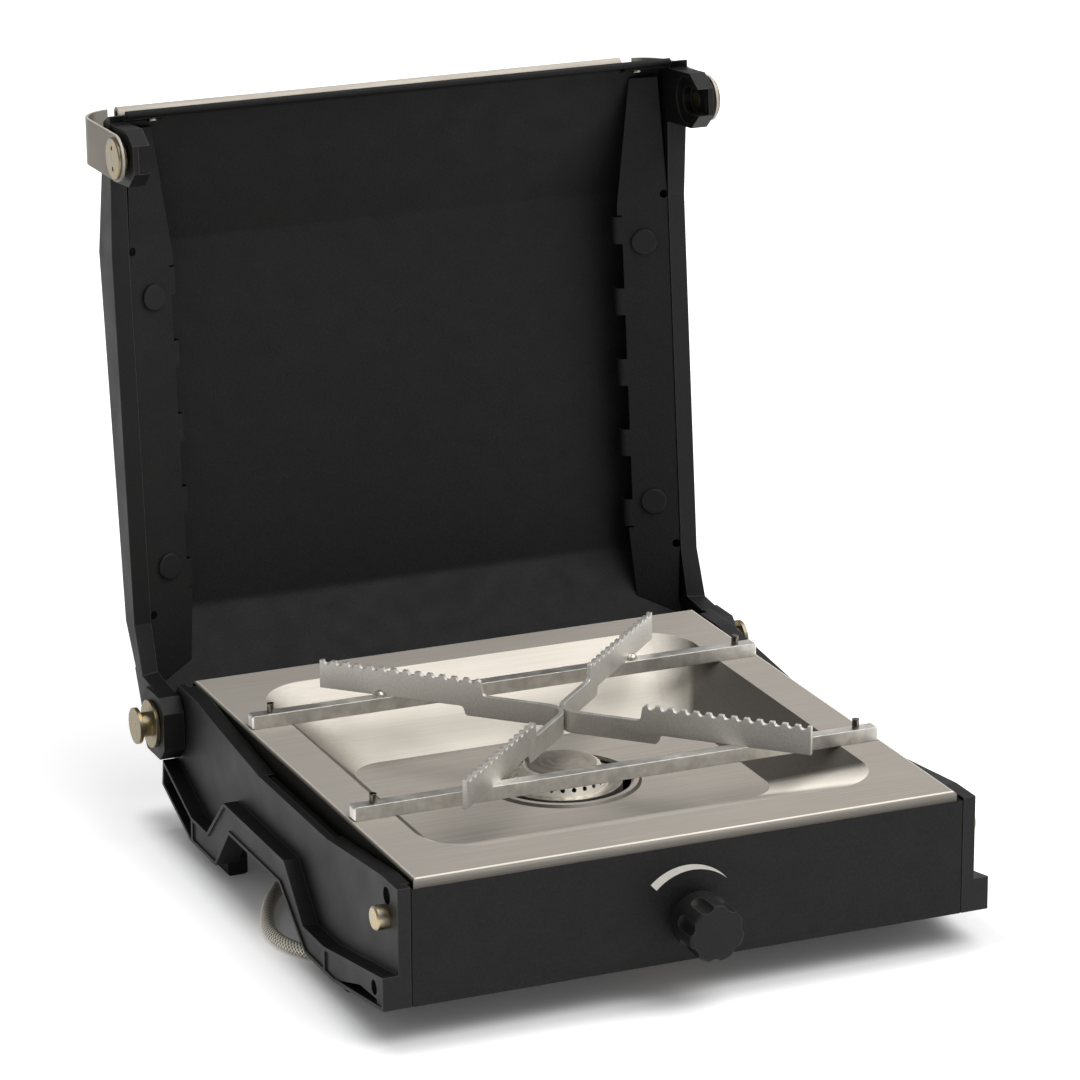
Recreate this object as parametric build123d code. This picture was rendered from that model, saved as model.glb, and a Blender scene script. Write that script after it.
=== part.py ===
from build123d import *
import os
from math import atan, cos, degrees, radians, sin, tan

# Single burner gas stove with a fold-back lid and a latching carry bail.
# Millimetres. X runs to the right, Y to the back, Z up, and the stove stands on Z = 0.
# Pieces are drawn with Y counted from the front panel's face and with the lid shut.
# At the end the lid and bail swing open, and the stove moves so that the origin lies
# on the ground under the middle of the open stove.

# Sheet, fits and gaps
SHEET = 1.0
TRAY_SHEET = 0.8
RUNNING_FIT = 0.05
SCREW_FIT = 0.05
SIDE_GAP = 0.6
PANEL_GAP = 0.6

# Base: front and rear panels, floor pan
PANEL_WIDTH = 288.0
PANEL_HEIGHT = 58.6
PANEL_BOTTOM = 18.0
BASE_DEPTH = 310.0
REAR_PANEL_SET_IN = 1.0
REAR_PANEL_DROP = 2.6
PANEL_RETURN = 5.0
PANEL_HEM = 12.0
PAN_FLOOR_LIFT = 9.0
PAN_WALL = 18.0
BURNER_BACK = 1.0

# Drip tray
RIM_LIFT = 4.2
TRAY_SIDE_INSET = 1.9
TRAY_FRONT_INSET = 2.5
TRAY_REAR_INSET = 4.0
TRAY_FLANGE = 12.0
TRAY_EDGE_RADIUS = 2.0
RIM_SIDE = 23.1
RIM_END = 29.0
RECESS_CORNER = 28.0
RECESS_DEPTH = 25.0
FLOOR_WIDTH = 186.0
FLOOR_LENGTH = 122.0
FLOOR_CORNER = 18.0
BEAD_WIDTH = 5.2
BEAD_HEIGHT = 1.4

# End frames: wall, carrying rail with its hand grip, feet
FRAME_WIDTH = 7.0
WALL = 4.0
FRAME_LIP = 0.5
CARRY_RAIL = 8.0
RAIL_POCKET = 1.0
RAIL_DEEP_POCKET = 6.4
RAIL_RIM = 1.8
RAIL_WEB = 2.2
WALL_FRONT_RISE = 1.4
WALL_DIP = 5.8
WALL_REAR_RISE = 3.8
WALL_REAR_STEP = 2.5
WALL_FRONT_FLAT = 20.0
WALL_DIP_FRONT = 92.0
WALL_DIP_REAR = 125.0
WALL_REAR_SLOPE = 54.0
WALL_REAR_FLAT = 34.0
WALL_REAR_END = 7.0
TOP_FLANGE = 3.0
FRONT_FOOT_Y = 77.0
REAR_FOOT_INSET = 68.0
FLAT_AHEAD = 12.0
FLAT_BEHIND = 26.0
RAIL_FRONT_TOP = 17.0
RAIL_REAR_TOP = 21.0
RAIL_LOW_TOP = 4.0
RAIL_LOW_BOTTOM = -9.5
RAIL_REAR_BOTTOM = 7.0
RAIL_TOP_PAST = 2.0
RAIL_TOP_SHORT = 3.0
RAIL_TOP_END = 2.2
RAIL_BOTTOM_END = 0.2
GRIP_FRONT = 53.0
GRIP_REAR = 26.0
GRIP_TOP = 29.0
GRIP_BAR = 14.5
GRIP_TAPER = 7.0
WEDGE_FRONT_Y = 10.0
WEDGE_MIDDLE_Y = 32.0
WEDGE_REAR_Y = 58.0
WEDGE_HEIGHT = 4.4
BOSS_RADIUS = 13.0
STUD_BOSS = 2.0
LEDGE_WIDTH = 5.0
LEDGE = 3.0
WALL_HOLE_RADIUS = 4.4
WALL_HOLE_Y = 13.7
WALL_HOLE_Z = 52.0
RAIL_HOLE_RADIUS = 3.7
RAIL_HOLE_Y = 13.5
RAIL_HOLE_Z = 7.2
HOLE_DEPTH = 2.5
FOOT_LENGTH = 20.0
FOOT_WIDTH = 18.0
FOOT_EDGE = 1.5
FOOT_INSET = 7.5
SCREW_HEAD_RADIUS = 3.5
SCREW_HEAD = 2.0
SCREW_RADIUS = 1.6
SCREW_LENGTH = 6.5
SCREW_BOSS_RADIUS = 5.0
SCREW_LIFT = 22.0
SCREW_END_Y = 46.0

# Lid: sheet panel, side flanges, moulded rails
HINGE_LIFT = 41.0
OPEN_ANGLE = 95.4
STUD_SETBACK = 15.5
LID_BEND = 8.0
LID_EDGE_BACK = 4.0
LID_EDGE_RISE = 20.0
LID_REAR_SLOPE = 46.0
LID_REAR_RISE = 51.0
LID_TOP_INSET = 70.0
LID_TOP_RISE = 58.0
LID_SLOPE_INSET = 0.5
LID_SLOPE_RISE = 33.0
LID_FRONT_REACH = 3.0
LID_FRONT_RISE = 19.5
LID_FRONT_BEND = 4.0
HEM_RADIUS = 1.7
FLANGE_HEIGHT = 28.0
FLANGE_TILT = 17.4
FLANGE_WIDTH = 27.6
FLANGE_RECESS = 2.4
FLANGE_CLEARANCE = 0.15
TONGUE_REAR_U = 57.0
TONGUE_FRONT_INSET = 74.0
TONGUE_REAR_TAPER = 5.0
TONGUE_FRONT_TAPER = 9.0
TONGUE_END_INSET = 6.0
RELIEF_REAR_U = 49.5
RELIEF_FRONT_INSET = 69.0
RELIEF_TAPER = 3.0
RELIEF_RADIUS = 2.2
TAB_COUNT = 5
TAB_LENGTH = 14.5
TAB_END = 18.55
TAB_REACH = 2.4
TAB_DROP = 10.0
TAB_BEND = 3.0
RAIL_WIDTH = 9.4
RAIL_UNDER_FLANGE = 0.5
RAIL_SLOPE = 10.0
RAIL_END_DEPTH = 10.0
RAIL_REAR_DEPTH = 4.0
RAIL_END_STEP = 2.0
RAIL_SHELF = 2.5
RAIL_SHELF_WIDTH = 20.0
RAIL_SHELF_END = 8.0
CORNER_TAB = 2.0
CORNER_TAB_WIDTH = 24.0
CORNER_TAB_LENGTH = 7.0
HINGE_LUG = 16.8
HINGE_LUG_CORNER = 7.0
HINGE_LUG_PROUD = 2.0
LATCH_LUG = 14.5
LATCH_LUG_FRONT = 15.2
LATCH_LUG_CORNER = 7.3
LATCH_LUG_CORNER_DEPTH = 10.0
LATCH_LUG_RISE = 27.0
LATCH_LUG_SET_IN = 0.5
LUG_WALL = 1.2
MOUTH_WALL = 3.0
MOUTH_HALF_WIDTH = 7.0
PUSH_RIVET_RADIUS = 7.0
PUSH_RIVET_HEAD = 1.8
PUSH_RIVET_SHANK = 3.0
PUSH_RIVET_W = 13.8
PUSH_RIVET_REAR = 24.3
PUSH_RIVET_FRONT = 25.2
CORNER_RIVET_INSET = 16.1
CORNER_RIVET_DOWN = 1.5
CORNER_RIVET_RADIUS = 3.6
CORNER_RIVET_SHANK = 1.6
CORNER_RIVET_HEAD = 1.2
CORNER_RIVET_TAIL = 2.6

# Hinge pins and latch studs
PIN_RADIUS = 5.0
PIN_DISC_RADIUS = 12.5
PIN_DISC = 2.0
SPOOL_NECK_RADIUS = 6.5
SPOOL_NECK = 5.7
SPOOL_CAP_RADIUS = 9.5
SPOOL_CAP = 2.0
STUD_RADIUS = 6.0
STUD_LENGTH = 6.2
STUD_SHANK_RADIUS = 4.0
STUD_EDGE = 0.8

# Carry bail and its latch cams
STRAP_WIDTH = 24.0
STRAP = 1.5
BAIL_REACH = 62.5
BAIL_REST = 4.0
BAIL_GAP = 0.6
BAIL_STANDOFF = 3.1
BAIL_BEND = 20.0
GRIP_ROLL_GAP = 3.1
GRIP_ROLL_RADIUS = 4.0
GRIP_NOTCH = 6.0
GRIP_NOTCH_DEPTH = 4.5
RIVET_HEAD_RADIUS = 10.7
RIVET_HEAD = 1.5
RIVET_RADIUS = 4.0
RIVET_SHOULDER_RADIUS = 8.0
RIVET_DIMPLE_RADIUS = 1.2
RIVET_DIMPLE_OFFSET = 5.3
CAM_RADIUS = 12.0
CAM_BORE = 7.0
CAM_RING = 4.6
CAM_DISC = 1.4
CAM_GAP = 0.3

# Knob, valve and gas path
KNOB_LIFT = 23.0
KNOB_REACH = 28.0
KNOB_RADIUS = 14.3
KNOB_NECK_RADIUS = 9.0
KNOB_NECK = 4.0
KNOB_SCOOPS = 7
KNOB_SCOOP_TURN = 8.0
KNOB_SCOOP_RADIUS = 5.0
KNOB_SCOOP_DEPTH = 1.9
KNOB_SCOOP_LENGTH = 11.0
KNOB_EDGE = 1.4
KNOB_STANDOFF = 2.5
STEM_RADIUS = 3.0
STEM_DEPTH = 14.0
STEM_GRIP = 18.0
VALVE_NECK_RADIUS = 6.0
VALVE_NECK_PROUD = 1.5
VALVE_SET_BACK = 6.0
VALVE_LENGTH = 28.0
VALVE_HALF_WIDTH = 9.0
VALVE_HALF_HEIGHT = 9.0
VALVE_NUT_RADIUS = 9.0
PANEL_HOLE_CLEARANCE = 0.3
JET_RADIUS = 4.0
JET_LENGTH = 12.0
MIXER_RADIUS = 8.0
MIXER_WALL = 0.8
MIXER_OVERLAP = 5.0
AIR_HOLE_RADIUS = 2.6
BURNER_GAP = 4.3
BOWL_RADIUS = 22.0
BOWL_RIM = 8.7
BOWL_WALL = 1.0
BOWL_BOTTOM_LIFT = 5.0
BOWL_SET_DOWN = 0.5
BOWL_STEP = 2.6
BOWL_STEP_HEIGHT = 0.55
BOWL_RIM_HEIGHT = 5.8
FLAME_RING_STEP = 1.6
FLAME_RING_HEIGHT = 9.2
FLAME_RING_WALL = 1.0
FLAME_HOLES = 24
FLAME_HOLE_RADIUS = 1.15
FLAME_HOLE_LIFT = 2.9
CAP_RADIUS = 17.6
CAP_LEDGE = 2.0
CAP_HEIGHT = 2.4
CAP_RISE = 1.4
BRACKET_WIDTH = 34.0
BRACKET_LENGTH = 20.0
BRACKET_FOOT = 9.0

# Gas hose: inlet elbow under the floor, braided hose, swivel nut
ELBOW_RADIUS = 5.5
ELBOW_DROP = 8.0
ELBOW_LENGTH = 17.0
HOSE_RADIUS = 3.5
HOSE_BEND_SHARE = 0.45
FERRULE_RADIUS = 4.8
FERRULE_LENGTH = 16.0
NUT_FLATS = 17.0
NUT_LENGTH = 14.0
NUT_BORE = 5.6
NUT_DEPTH = 9.0
HOSE_LOW = 3.6

# Pan support
BAR = 7.0
BAR_END_INSET = 2.1
BAR_HALF_SPACING = 70.0
BAR_EDGE = 0.8
STRIP = 2.5
STRIP_GAP = 0.1
STRIP_BEND = 12.0
STRIP_REACH = 92.0
STRIP_STEP = 40.0
STRIP_SHOULDER = 32.4
STRIP_CORNER = 2.2
STRIP_LEAN = 1.5
STRIP_TOOTH_TOP = 14.7
STRIP_MIDDLE_TOP = 6.4
STRIP_MIDDLE_DROP = 4.8
TOOTH_COUNT = 13
TOOTH_LEAD = 0.9
TOOTH_MARGIN = 0.5
TOOTH_RADIUS = 2.0
SUPPORT_PIN_INSET = 11.0
SUPPORT_PIN_RADIUS = 1.8
SUPPORT_PIN_HEIGHT = 4.8
WELD_RADIUS = 3.2

# Places that several pieces share
PANEL_HALF = PANEL_WIDTH / 2
PANEL_TOP = PANEL_BOTTOM + PANEL_HEIGHT
CENTRE_Y = BASE_DEPTH / 2 + BURNER_BACK
RIM_Z = PANEL_TOP + RIM_LIFT
FLOOR_Z = RIM_Z - RECESS_DEPTH
PAN_TOP = PANEL_BOTTOM + PAN_FLOOR_LIFT + SHEET
REAR_FACE_Y = BASE_DEPTH - REAR_PANEL_SET_IN
HINGE_Y = BASE_DEPTH
HINGE_Z = PANEL_BOTTOM + HINGE_LIFT
HINGE_AXIS = Axis((0, HINGE_Y, HINGE_Z), (1, 0, 0))
STUD_Y = STUD_SETBACK
LATCH_REACH = HINGE_Y - STUD_Y
BAIL_AXIS = Axis((0, STUD_Y, HINGE_Z), (1, 0, 0))
PAN_HALF = PANEL_HALF - SHEET
SCREW_Z = PANEL_BOTTOM + SCREW_LIFT
WALL_OUTER_X = PANEL_HALF + FRAME_WIDTH
WALL_INNER_X = WALL_OUTER_X - WALL
RAIL_OUTER_X = WALL_OUTER_X + CARRY_RAIL
FRAME_LIP_X = PANEL_HALF + FRAME_LIP
TRAY_HALF = PANEL_HALF - TRAY_SIDE_INSET
RECESS_WIDTH = 2 * (TRAY_HALF - RIM_SIDE)
RECESS_LENGTH = BASE_DEPTH - 2 * RIM_END
LEDGE_TOP = RIM_Z - TRAY_FLANGE
FRAME_FLANGE_X = TRAY_HALF + PANEL_GAP
FOOT_Z = PANEL_BOTTOM + RAIL_LOW_BOTTOM
REAR_FOOT_Y = BASE_DEPTH - REAR_FOOT_INSET
GRIP_FRONT_Y = FRONT_FOOT_Y + GRIP_FRONT
GRIP_REAR_Y = REAR_FOOT_Y - GRIP_REAR
LID_SIDE_X = WALL_OUTER_X + SIDE_GAP
LID_RAIL_X = LID_SIDE_X + RAIL_WIDTH
RAIL_FRONT = FLANGE_HEIGHT - RAIL_UNDER_FLANGE
HINGE_LUG_X = LID_RAIL_X + HINGE_LUG_PROUD
LUG_X = LID_RAIL_X - LATCH_LUG_SET_IN
ARM_X = LUG_X + BAIL_STANDOFF
GRIP_HALF_LENGTH = ARM_X + STRAP - BAIL_BEND - GRIP_ROLL_GAP
LID_REAR_EDGE = (-LID_EDGE_BACK, LID_EDGE_RISE)
LID_REAR_CORNER = (LID_REAR_SLOPE, LID_REAR_RISE)
LID_TOP_CORNER = (BASE_DEPTH - LID_TOP_INSET, LID_TOP_RISE)
LID_SLOPE_CORNER = (BASE_DEPTH - LID_SLOPE_INSET, LID_SLOPE_RISE)
LID_FRONT_EDGE = (BASE_DEPTH + LID_FRONT_REACH, LID_FRONT_RISE)
LID_CORNERS = [LID_REAR_EDGE, LID_REAR_CORNER, LID_TOP_CORNER, LID_SLOPE_CORNER, LID_FRONT_EDGE]
TONGUE_FRONT_U = BASE_DEPTH - TONGUE_FRONT_INSET
TONGUE_END_U = BASE_DEPTH - TONGUE_END_INSET
RELIEF_FRONT_U = BASE_DEPTH - RELIEF_FRONT_INSET
PUSH_RIVET_U = (RELIEF_REAR_U + PUSH_RIVET_REAR, RELIEF_FRONT_U - PUSH_RIVET_FRONT)
CORNER_RIVET_X = LID_SIDE_X - CORNER_RIVET_INSET
CORNER_RIVET_U = LID_SLOPE_CORNER[0] + CORNER_RIVET_DOWN
KNOB_AXIS_Z = PANEL_BOTTOM + KNOB_LIFT
VALVE_END_Y = VALVE_SET_BACK + VALVE_LENGTH
BOWL_BOTTOM = PAN_TOP + BOWL_BOTTOM_LIFT
BOWL_TOP = FLOOR_Z - BOWL_SET_DOWN
BOWL_RIM_RADIUS = BOWL_RADIUS + BOWL_RIM
TRAY_HOLE_RADIUS = BOWL_RIM_RADIUS + BURNER_GAP
FLAME_RING_RADIUS = BOWL_RADIUS + FLAME_RING_STEP
FLAME_RING_TOP_RADIUS = CAP_RADIUS + CAP_LEDGE
BAR_TOP = RIM_Z + BAR
BAR_HALF_LENGTH = TRAY_HALF - BAR_END_INSET
BAR_YS = (CENTRE_Y - BAR_HALF_SPACING, CENTRE_Y + BAR_HALF_SPACING)
SUPPORT_PIN_X = BAR_HALF_LENGTH - SUPPORT_PIN_INSET

# The hose runs back from the elbow, out and in through the left arch, round the back of the
# base and forward on its right-hand side, all under the floor pan.
ELBOW_Y = VALVE_SET_BACK + VALVE_LENGTH / 2
ELBOW_Z = PAN_TOP - SHEET - ELBOW_DROP
HOSE_END_Z = NUT_FLATS / 2
HOSE_POINTS = [
    (0, ELBOW_Y + ELBOW_LENGTH, ELBOW_Z),
    (0, 63, ELBOW_Z),
    (-11, 88, 14),
    (-36, 102, 7),
    (-70, 102, HOSE_LOW),
    (-109, 92, HOSE_LOW),
    (-146, 104, HOSE_LOW),
    (-164, 136, HOSE_LOW),
    (-153, 175, HOSE_LOW),
    (-129, 211, HOSE_LOW),
    (-98, 244, HOSE_LOW),
    (-52, 266, HOSE_LOW),
    (2, 274, HOSE_LOW),
    (56, 263, HOSE_LOW),
    (98, 230, HOSE_LOW),
    (116, 178, HOSE_LOW),
    (120, 140, 5),
    (120, 112, HOSE_END_Z),
    (120, 84, HOSE_END_Z),
]


def block(x0, x1, y0, y1, z0, z1):
    """A box between two corners."""
    size = (x1 - x0, y1 - y0, z1 - z0)
    return Pos((x0 + x1) / 2, (y0 + y1) / 2, (z0 + z1) / 2) * Box(*size)


def rod_x(radius, y, z, x0, x1):
    """A round bar along X."""
    return Pos((x0 + x1) / 2, y, z) * Rot(0, 90, 0) * Cylinder(radius, abs(x1 - x0))


def rod_y(radius, x, z, y0, y1):
    """A round bar along Y."""
    return Pos(x, (y0 + y1) / 2, z) * Rot(90, 0, 0) * Cylinder(radius, abs(y1 - y0))


def rod_z(radius, x, y, z0, z1):
    """A round bar along Z."""
    return Pos(x, y, (z0 + z1) / 2) * Cylinder(radius, abs(z1 - z0))


def side_face(points):
    """A face in the YZ plane from (y, z) corners."""
    return Plane.YZ * make_face(Polyline(*points, close=True))


def side_plate(points, x0, x1):
    """A plate with a (y, z) outline, from x0 to x1."""
    return Pos(x0, 0, 0) * extrude(side_face(points), amount=x1 - x0, dir=(1, 0, 0))


def turned(points, x, y):
    """A solid of revolution about a vertical axis, from (radius, z) corners."""
    face = Plane.XZ * make_face(Polyline(*points, close=True))
    return Pos(x, y, 0) * revolve(face, Axis.Z)


def mirrored(shape):
    """The left-hand twin of a right-hand piece."""
    return mirror(shape, about=Plane.YZ)


def both_sides(shape):
    """A right-hand shape and its twin, as one group."""
    return Compound([*shape.solids(), *mirrored(shape).solids()])


def lid_point(u, n):
    """(y, z) of a point on the shut lid: u from the hinge to the front, n up from the hinge."""
    return (HINGE_Y - u, HINGE_Z + n)


def on_front_facet(x, u):
    """A place on the middle of the lid's front facet, with its Z square out of the sheet."""
    (u0, n0), (u1, n1) = LID_SLOPE_CORNER, LID_FRONT_EDGE
    slope = (n0 - n1) / (u1 - u0)
    y, z = lid_point(u, n0 - slope * (u - u0))
    return Pos(x, y, z) * Rot(degrees(atan(slope)), 0, 0)


# Front panel: flat sheet with short returns, a bottom hem and the valve's hole
def make_front_panel():
    panel = block(-PANEL_HALF, PANEL_HALF, 0, SHEET, PANEL_BOTTOM, PANEL_TOP)
    panel += block(-PANEL_HALF, PANEL_HALF, 0, PANEL_HEM, PANEL_BOTTOM, PANEL_BOTTOM + SHEET)
    for x0 in (-PANEL_HALF, PANEL_HALF - SHEET):
        panel += block(x0, x0 + SHEET, 0, PANEL_RETURN, PANEL_BOTTOM, PANEL_TOP)
    hole = VALVE_NECK_RADIUS + PANEL_HOLE_CLEARANCE
    return panel - rod_y(hole, 0, KNOB_AXIS_Z, -SHEET, 2 * SHEET)


# Rear panel: the same folds, lower, so that the lid's rear edge swings past it
def make_rear_panel():
    top = PANEL_TOP - REAR_PANEL_DROP
    face = REAR_FACE_Y - SHEET
    panel = block(-PANEL_HALF, PANEL_HALF, face, REAR_FACE_Y, PANEL_BOTTOM, top)
    hem_y = REAR_FACE_Y - PANEL_HEM
    hem_top = PANEL_BOTTOM + SHEET
    panel += block(-PANEL_HALF, PANEL_HALF, hem_y, REAR_FACE_Y, PANEL_BOTTOM, hem_top)
    for x0 in (-PANEL_HALF, PANEL_HALF - SHEET):
        panel += block(x0, x0 + SHEET, REAR_FACE_Y - PANEL_RETURN, REAR_FACE_Y, PANEL_BOTTOM, top)
    return panel


def screw_places():
    """(y, z) of the screws that hold the pan's walls to an end frame."""
    return [(SCREW_END_Y, SCREW_Z), (CENTRE_Y, SCREW_Z), (BASE_DEPTH - SCREW_END_Y, SCREW_Z)]


# Floor pan: a shallow sheet box between the panels, with the elbow's hole
def make_base_pan():
    low = PAN_TOP - SHEET
    high = low + PAN_WALL
    front = SHEET
    rear = REAR_FACE_Y - SHEET
    pan = block(-PAN_HALF, PAN_HALF, front, rear, low, high)
    half = PAN_HALF - SHEET
    pan -= block(-half, half, front + SHEET, rear - SHEET, PAN_TOP, high + SHEET)
    pan -= rod_y(VALVE_NUT_RADIUS + PANEL_GAP, 0, KNOB_AXIS_Z, 0, VALVE_SET_BACK)
    pan -= rod_z(ELBOW_RADIUS + PANEL_HOLE_CLEARANCE, 0, ELBOW_Y, low - SHEET, PAN_TOP + SHEET)
    for y, z in screw_places():
        pan -= rod_x(SCREW_RADIUS + SCREW_FIT, y, z, -PANEL_HALF, PANEL_HALF)
    return pan


def frame_z(height):
    """Height above ground of a place given from the front panel's bottom edge."""
    return PANEL_BOTTOM + height


def wall_top_line():
    """(y, z) of the end frame's top edge, from the front to behind the hinge."""
    front = PANEL_TOP + WALL_FRONT_RISE
    middle = PANEL_TOP - WALL_DIP
    rear = PANEL_TOP + WALL_REAR_RISE
    return [
        (0, front),
        (WALL_FRONT_FLAT, front),
        (WALL_DIP_FRONT, middle),
        (BASE_DEPTH - WALL_DIP_REAR, middle),
        (BASE_DEPTH - WALL_REAR_SLOPE, rear - WALL_REAR_STEP),
        (BASE_DEPTH - WALL_REAR_FLAT, rear),
        (BASE_DEPTH - WALL_REAR_END, rear),
    ]


def rail_bottom_line():
    """(y, z) of the end frame's lower edge, from the rear to the front, over the hand arch."""
    return [
        (BASE_DEPTH - RAIL_BOTTOM_END, frame_z(RAIL_REAR_BOTTOM)),
        (REAR_FOOT_Y + FLAT_BEHIND, FOOT_Z),
        (REAR_FOOT_Y - FLAT_AHEAD, FOOT_Z),
        (GRIP_REAR_Y - GRIP_TAPER, frame_z(GRIP_TOP - GRIP_BAR)),
        (GRIP_FRONT_Y + GRIP_TAPER, frame_z(GRIP_TOP - GRIP_BAR)),
        (FRONT_FOOT_Y + FLAT_BEHIND, FOOT_Z),
        (FRONT_FOOT_Y - FLAT_AHEAD, FOOT_Z),
        (0, PANEL_BOTTOM),
    ]


def rail_outline():
    """(y, z) corners of the carrying rail on the frame's outer side."""
    top = [
        (0, frame_z(RAIL_FRONT_TOP)),
        (FRONT_FOOT_Y, frame_z(RAIL_LOW_TOP)),
        (FRONT_FOOT_Y + FLAT_BEHIND + RAIL_TOP_PAST, frame_z(RAIL_LOW_TOP)),
        (GRIP_FRONT_Y, frame_z(GRIP_TOP)),
        (GRIP_REAR_Y, frame_z(GRIP_TOP)),
        (REAR_FOOT_Y, frame_z(RAIL_LOW_TOP)),
        (REAR_FOOT_Y + FLAT_BEHIND - RAIL_TOP_SHORT, frame_z(RAIL_LOW_TOP)),
        (BASE_DEPTH - RAIL_TOP_END, frame_z(RAIL_REAR_TOP)),
    ]
    return top + rail_bottom_line()


def drain_wedge():
    """(y, z) of the open wedge over the rail's lower rim, ahead of the front foot."""
    reach = FRONT_FOOT_Y - FLAT_AHEAD
    fall = (PANEL_BOTTOM - FOOT_Z) / reach

    def rim_z(y):
        return PANEL_BOTTOM - fall * y + RAIL_RIM

    return [
        (WEDGE_REAR_Y, rim_z(WEDGE_REAR_Y)),
        (WEDGE_FRONT_Y, rim_z(WEDGE_FRONT_Y)),
        (WEDGE_FRONT_Y, rim_z(WEDGE_FRONT_Y) + WEDGE_HEIGHT / 2),
        (WEDGE_MIDDLE_Y, rim_z(WEDGE_MIDDLE_Y) + WEDGE_HEIGHT),
    ]


def carrying_rail():
    """The rail with a sunk outer face, deep at its rear end, and a cross web at each foot."""
    outline = rail_outline()
    inner = WALL_OUTER_X
    whole = side_plate(outline, inner, RAIL_OUTER_X)
    pocket = offset(side_face(outline), amount=-RAIL_RIM, kind=Kind.INTERSECTION)
    floor = RAIL_OUTER_X - RAIL_POCKET
    deep_floor = RAIL_OUTER_X - RAIL_DEEP_POCKET
    sunk = Pos(floor, 0, 0) * extrude(pocket, amount=2 * RAIL_POCKET, dir=(1, 0, 0))
    deep = Pos(deep_floor, 0, 0) * extrude(pocket, amount=RAIL_DEEP_POCKET, dir=(1, 0, 0))
    rear_web = REAR_FOOT_Y + FLAT_BEHIND - RAIL_TOP_SHORT
    sunk += deep & block(inner, 2 * RAIL_OUTER_X, rear_web, 2 * BASE_DEPTH, 0, RIM_Z)
    sunk += side_plate(drain_wedge(), deep_floor, RAIL_OUTER_X)
    for y in (FRONT_FOOT_Y, rear_web):
        sunk -= block(0, 2 * RAIL_OUTER_X, y - RAIL_WEB / 2, y + RAIL_WEB / 2, 0, RIM_Z)
    return whole - sunk


def top_flange(points, x0):
    """A flange of TOP_FLANGE thickness under a stretch of the wall's top edge."""
    lower = [(y, z - TOP_FLANGE) for y, z in reversed(points)]
    return side_plate(points + lower, x0, WALL_INNER_X)


def blind_hole(radius, y, height, x):
    """A round hole that doesn't go through, in an outer face at x."""
    return rod_x(radius, y, frame_z(height), x - HOLE_DEPTH, x + HOLE_DEPTH)


# Right end frame: wall, rail, flanges beside the tray, ledge, bosses
def make_end_frame():
    top = wall_top_line()
    rear_y = HINGE_Y + BOSS_RADIUS / 2
    rear = [(rear_y, HINGE_Z + BOSS_RADIUS / 2), (rear_y, HINGE_Z - BOSS_RADIUS / 2)]
    frame = side_plate(top + rear + rail_bottom_line(), WALL_INNER_X, WALL_OUTER_X)
    frame += carrying_rail()
    frame += block(FRAME_LIP_X, WALL_INNER_X, 0, PANEL_RETURN, PANEL_BOTTOM, top[0][1])
    frame += top_flange([(PANEL_RETURN + PANEL_GAP, top[0][1]), top[1], top[2]], FRAME_FLANGE_X)
    frame += top_flange(top[3:6] + [(BASE_DEPTH - PANEL_HEM, top[6][1])], FRAME_FLANGE_X)
    ledge_y = (top[2][0], top[3][0])
    ledge_x = TRAY_HALF - LEDGE_WIDTH
    frame += block(ledge_x, WALL_INNER_X, *ledge_y, LEDGE_TOP - LEDGE, LEDGE_TOP)
    frame += rod_x(BOSS_RADIUS, HINGE_Y, HINGE_Z, FRAME_LIP_X, WALL_OUTER_X)
    frame += rod_x(STUD_RADIUS + STUD_BOSS, STUD_Y, HINGE_Z, FRAME_LIP_X, WALL_OUTER_X)
    for y, z in screw_places():
        frame += rod_x(SCREW_BOSS_RADIUS, y, z, PAN_HALF, WALL_INNER_X)
        frame -= rod_x(SCREW_RADIUS + SCREW_FIT, y, z, PAN_HALF, PAN_HALF + SCREW_LENGTH)
    pad_x = RAIL_OUTER_X - FOOT_WIDTH
    half = FOOT_LENGTH / 2
    for y in (FRONT_FOOT_Y, REAR_FOOT_Y):
        frame += block(pad_x, WALL_INNER_X, y - half, y + half, FOOT_Z, PANEL_BOTTOM)
    frame -= rod_x(PIN_RADIUS + RUNNING_FIT, HINGE_Y, HINGE_Z, 0, RAIL_OUTER_X)
    frame -= rod_x(STUD_SHANK_RADIUS + SCREW_FIT, STUD_Y, HINGE_Z, 0, RAIL_OUTER_X)
    frame -= blind_hole(WALL_HOLE_RADIUS, WALL_HOLE_Y, WALL_HOLE_Z, WALL_OUTER_X)
    frame -= blind_hole(RAIL_HOLE_RADIUS, RAIL_HOLE_Y, RAIL_HOLE_Z, RAIL_OUTER_X - RAIL_POCKET)
    return frame


def make_frame_screws():
    screws = []
    head_x = PAN_HALF - SHEET
    for y, z in screw_places():
        head = rod_x(SCREW_HEAD_RADIUS, y, z, head_x - SCREW_HEAD, head_x)
        screws.append(head + rod_x(SCREW_RADIUS, y, z, head_x, PAN_HALF + SCREW_LENGTH - SHEET))
    return both_sides(Compound(screws))


def make_foot(y):
    """A right-hand rubber foot under the rail."""
    x1 = RAIL_OUTER_X - FOOT_INSET
    x0 = RAIL_OUTER_X - FOOT_WIDTH
    foot = block(x0, x1, y - FOOT_LENGTH / 2, y + FOOT_LENGTH / 2, 0, FOOT_Z)
    return chamfer(foot.faces().sort_by(Axis.Z)[0].edges(), FOOT_EDGE)


def rounded(width, length, corner, z):
    """A rounded rectangle about the burner's axis at height z."""
    return Pos(0, CENTRE_Y, z) * RectangleRounded(width, length, corner)


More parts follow.
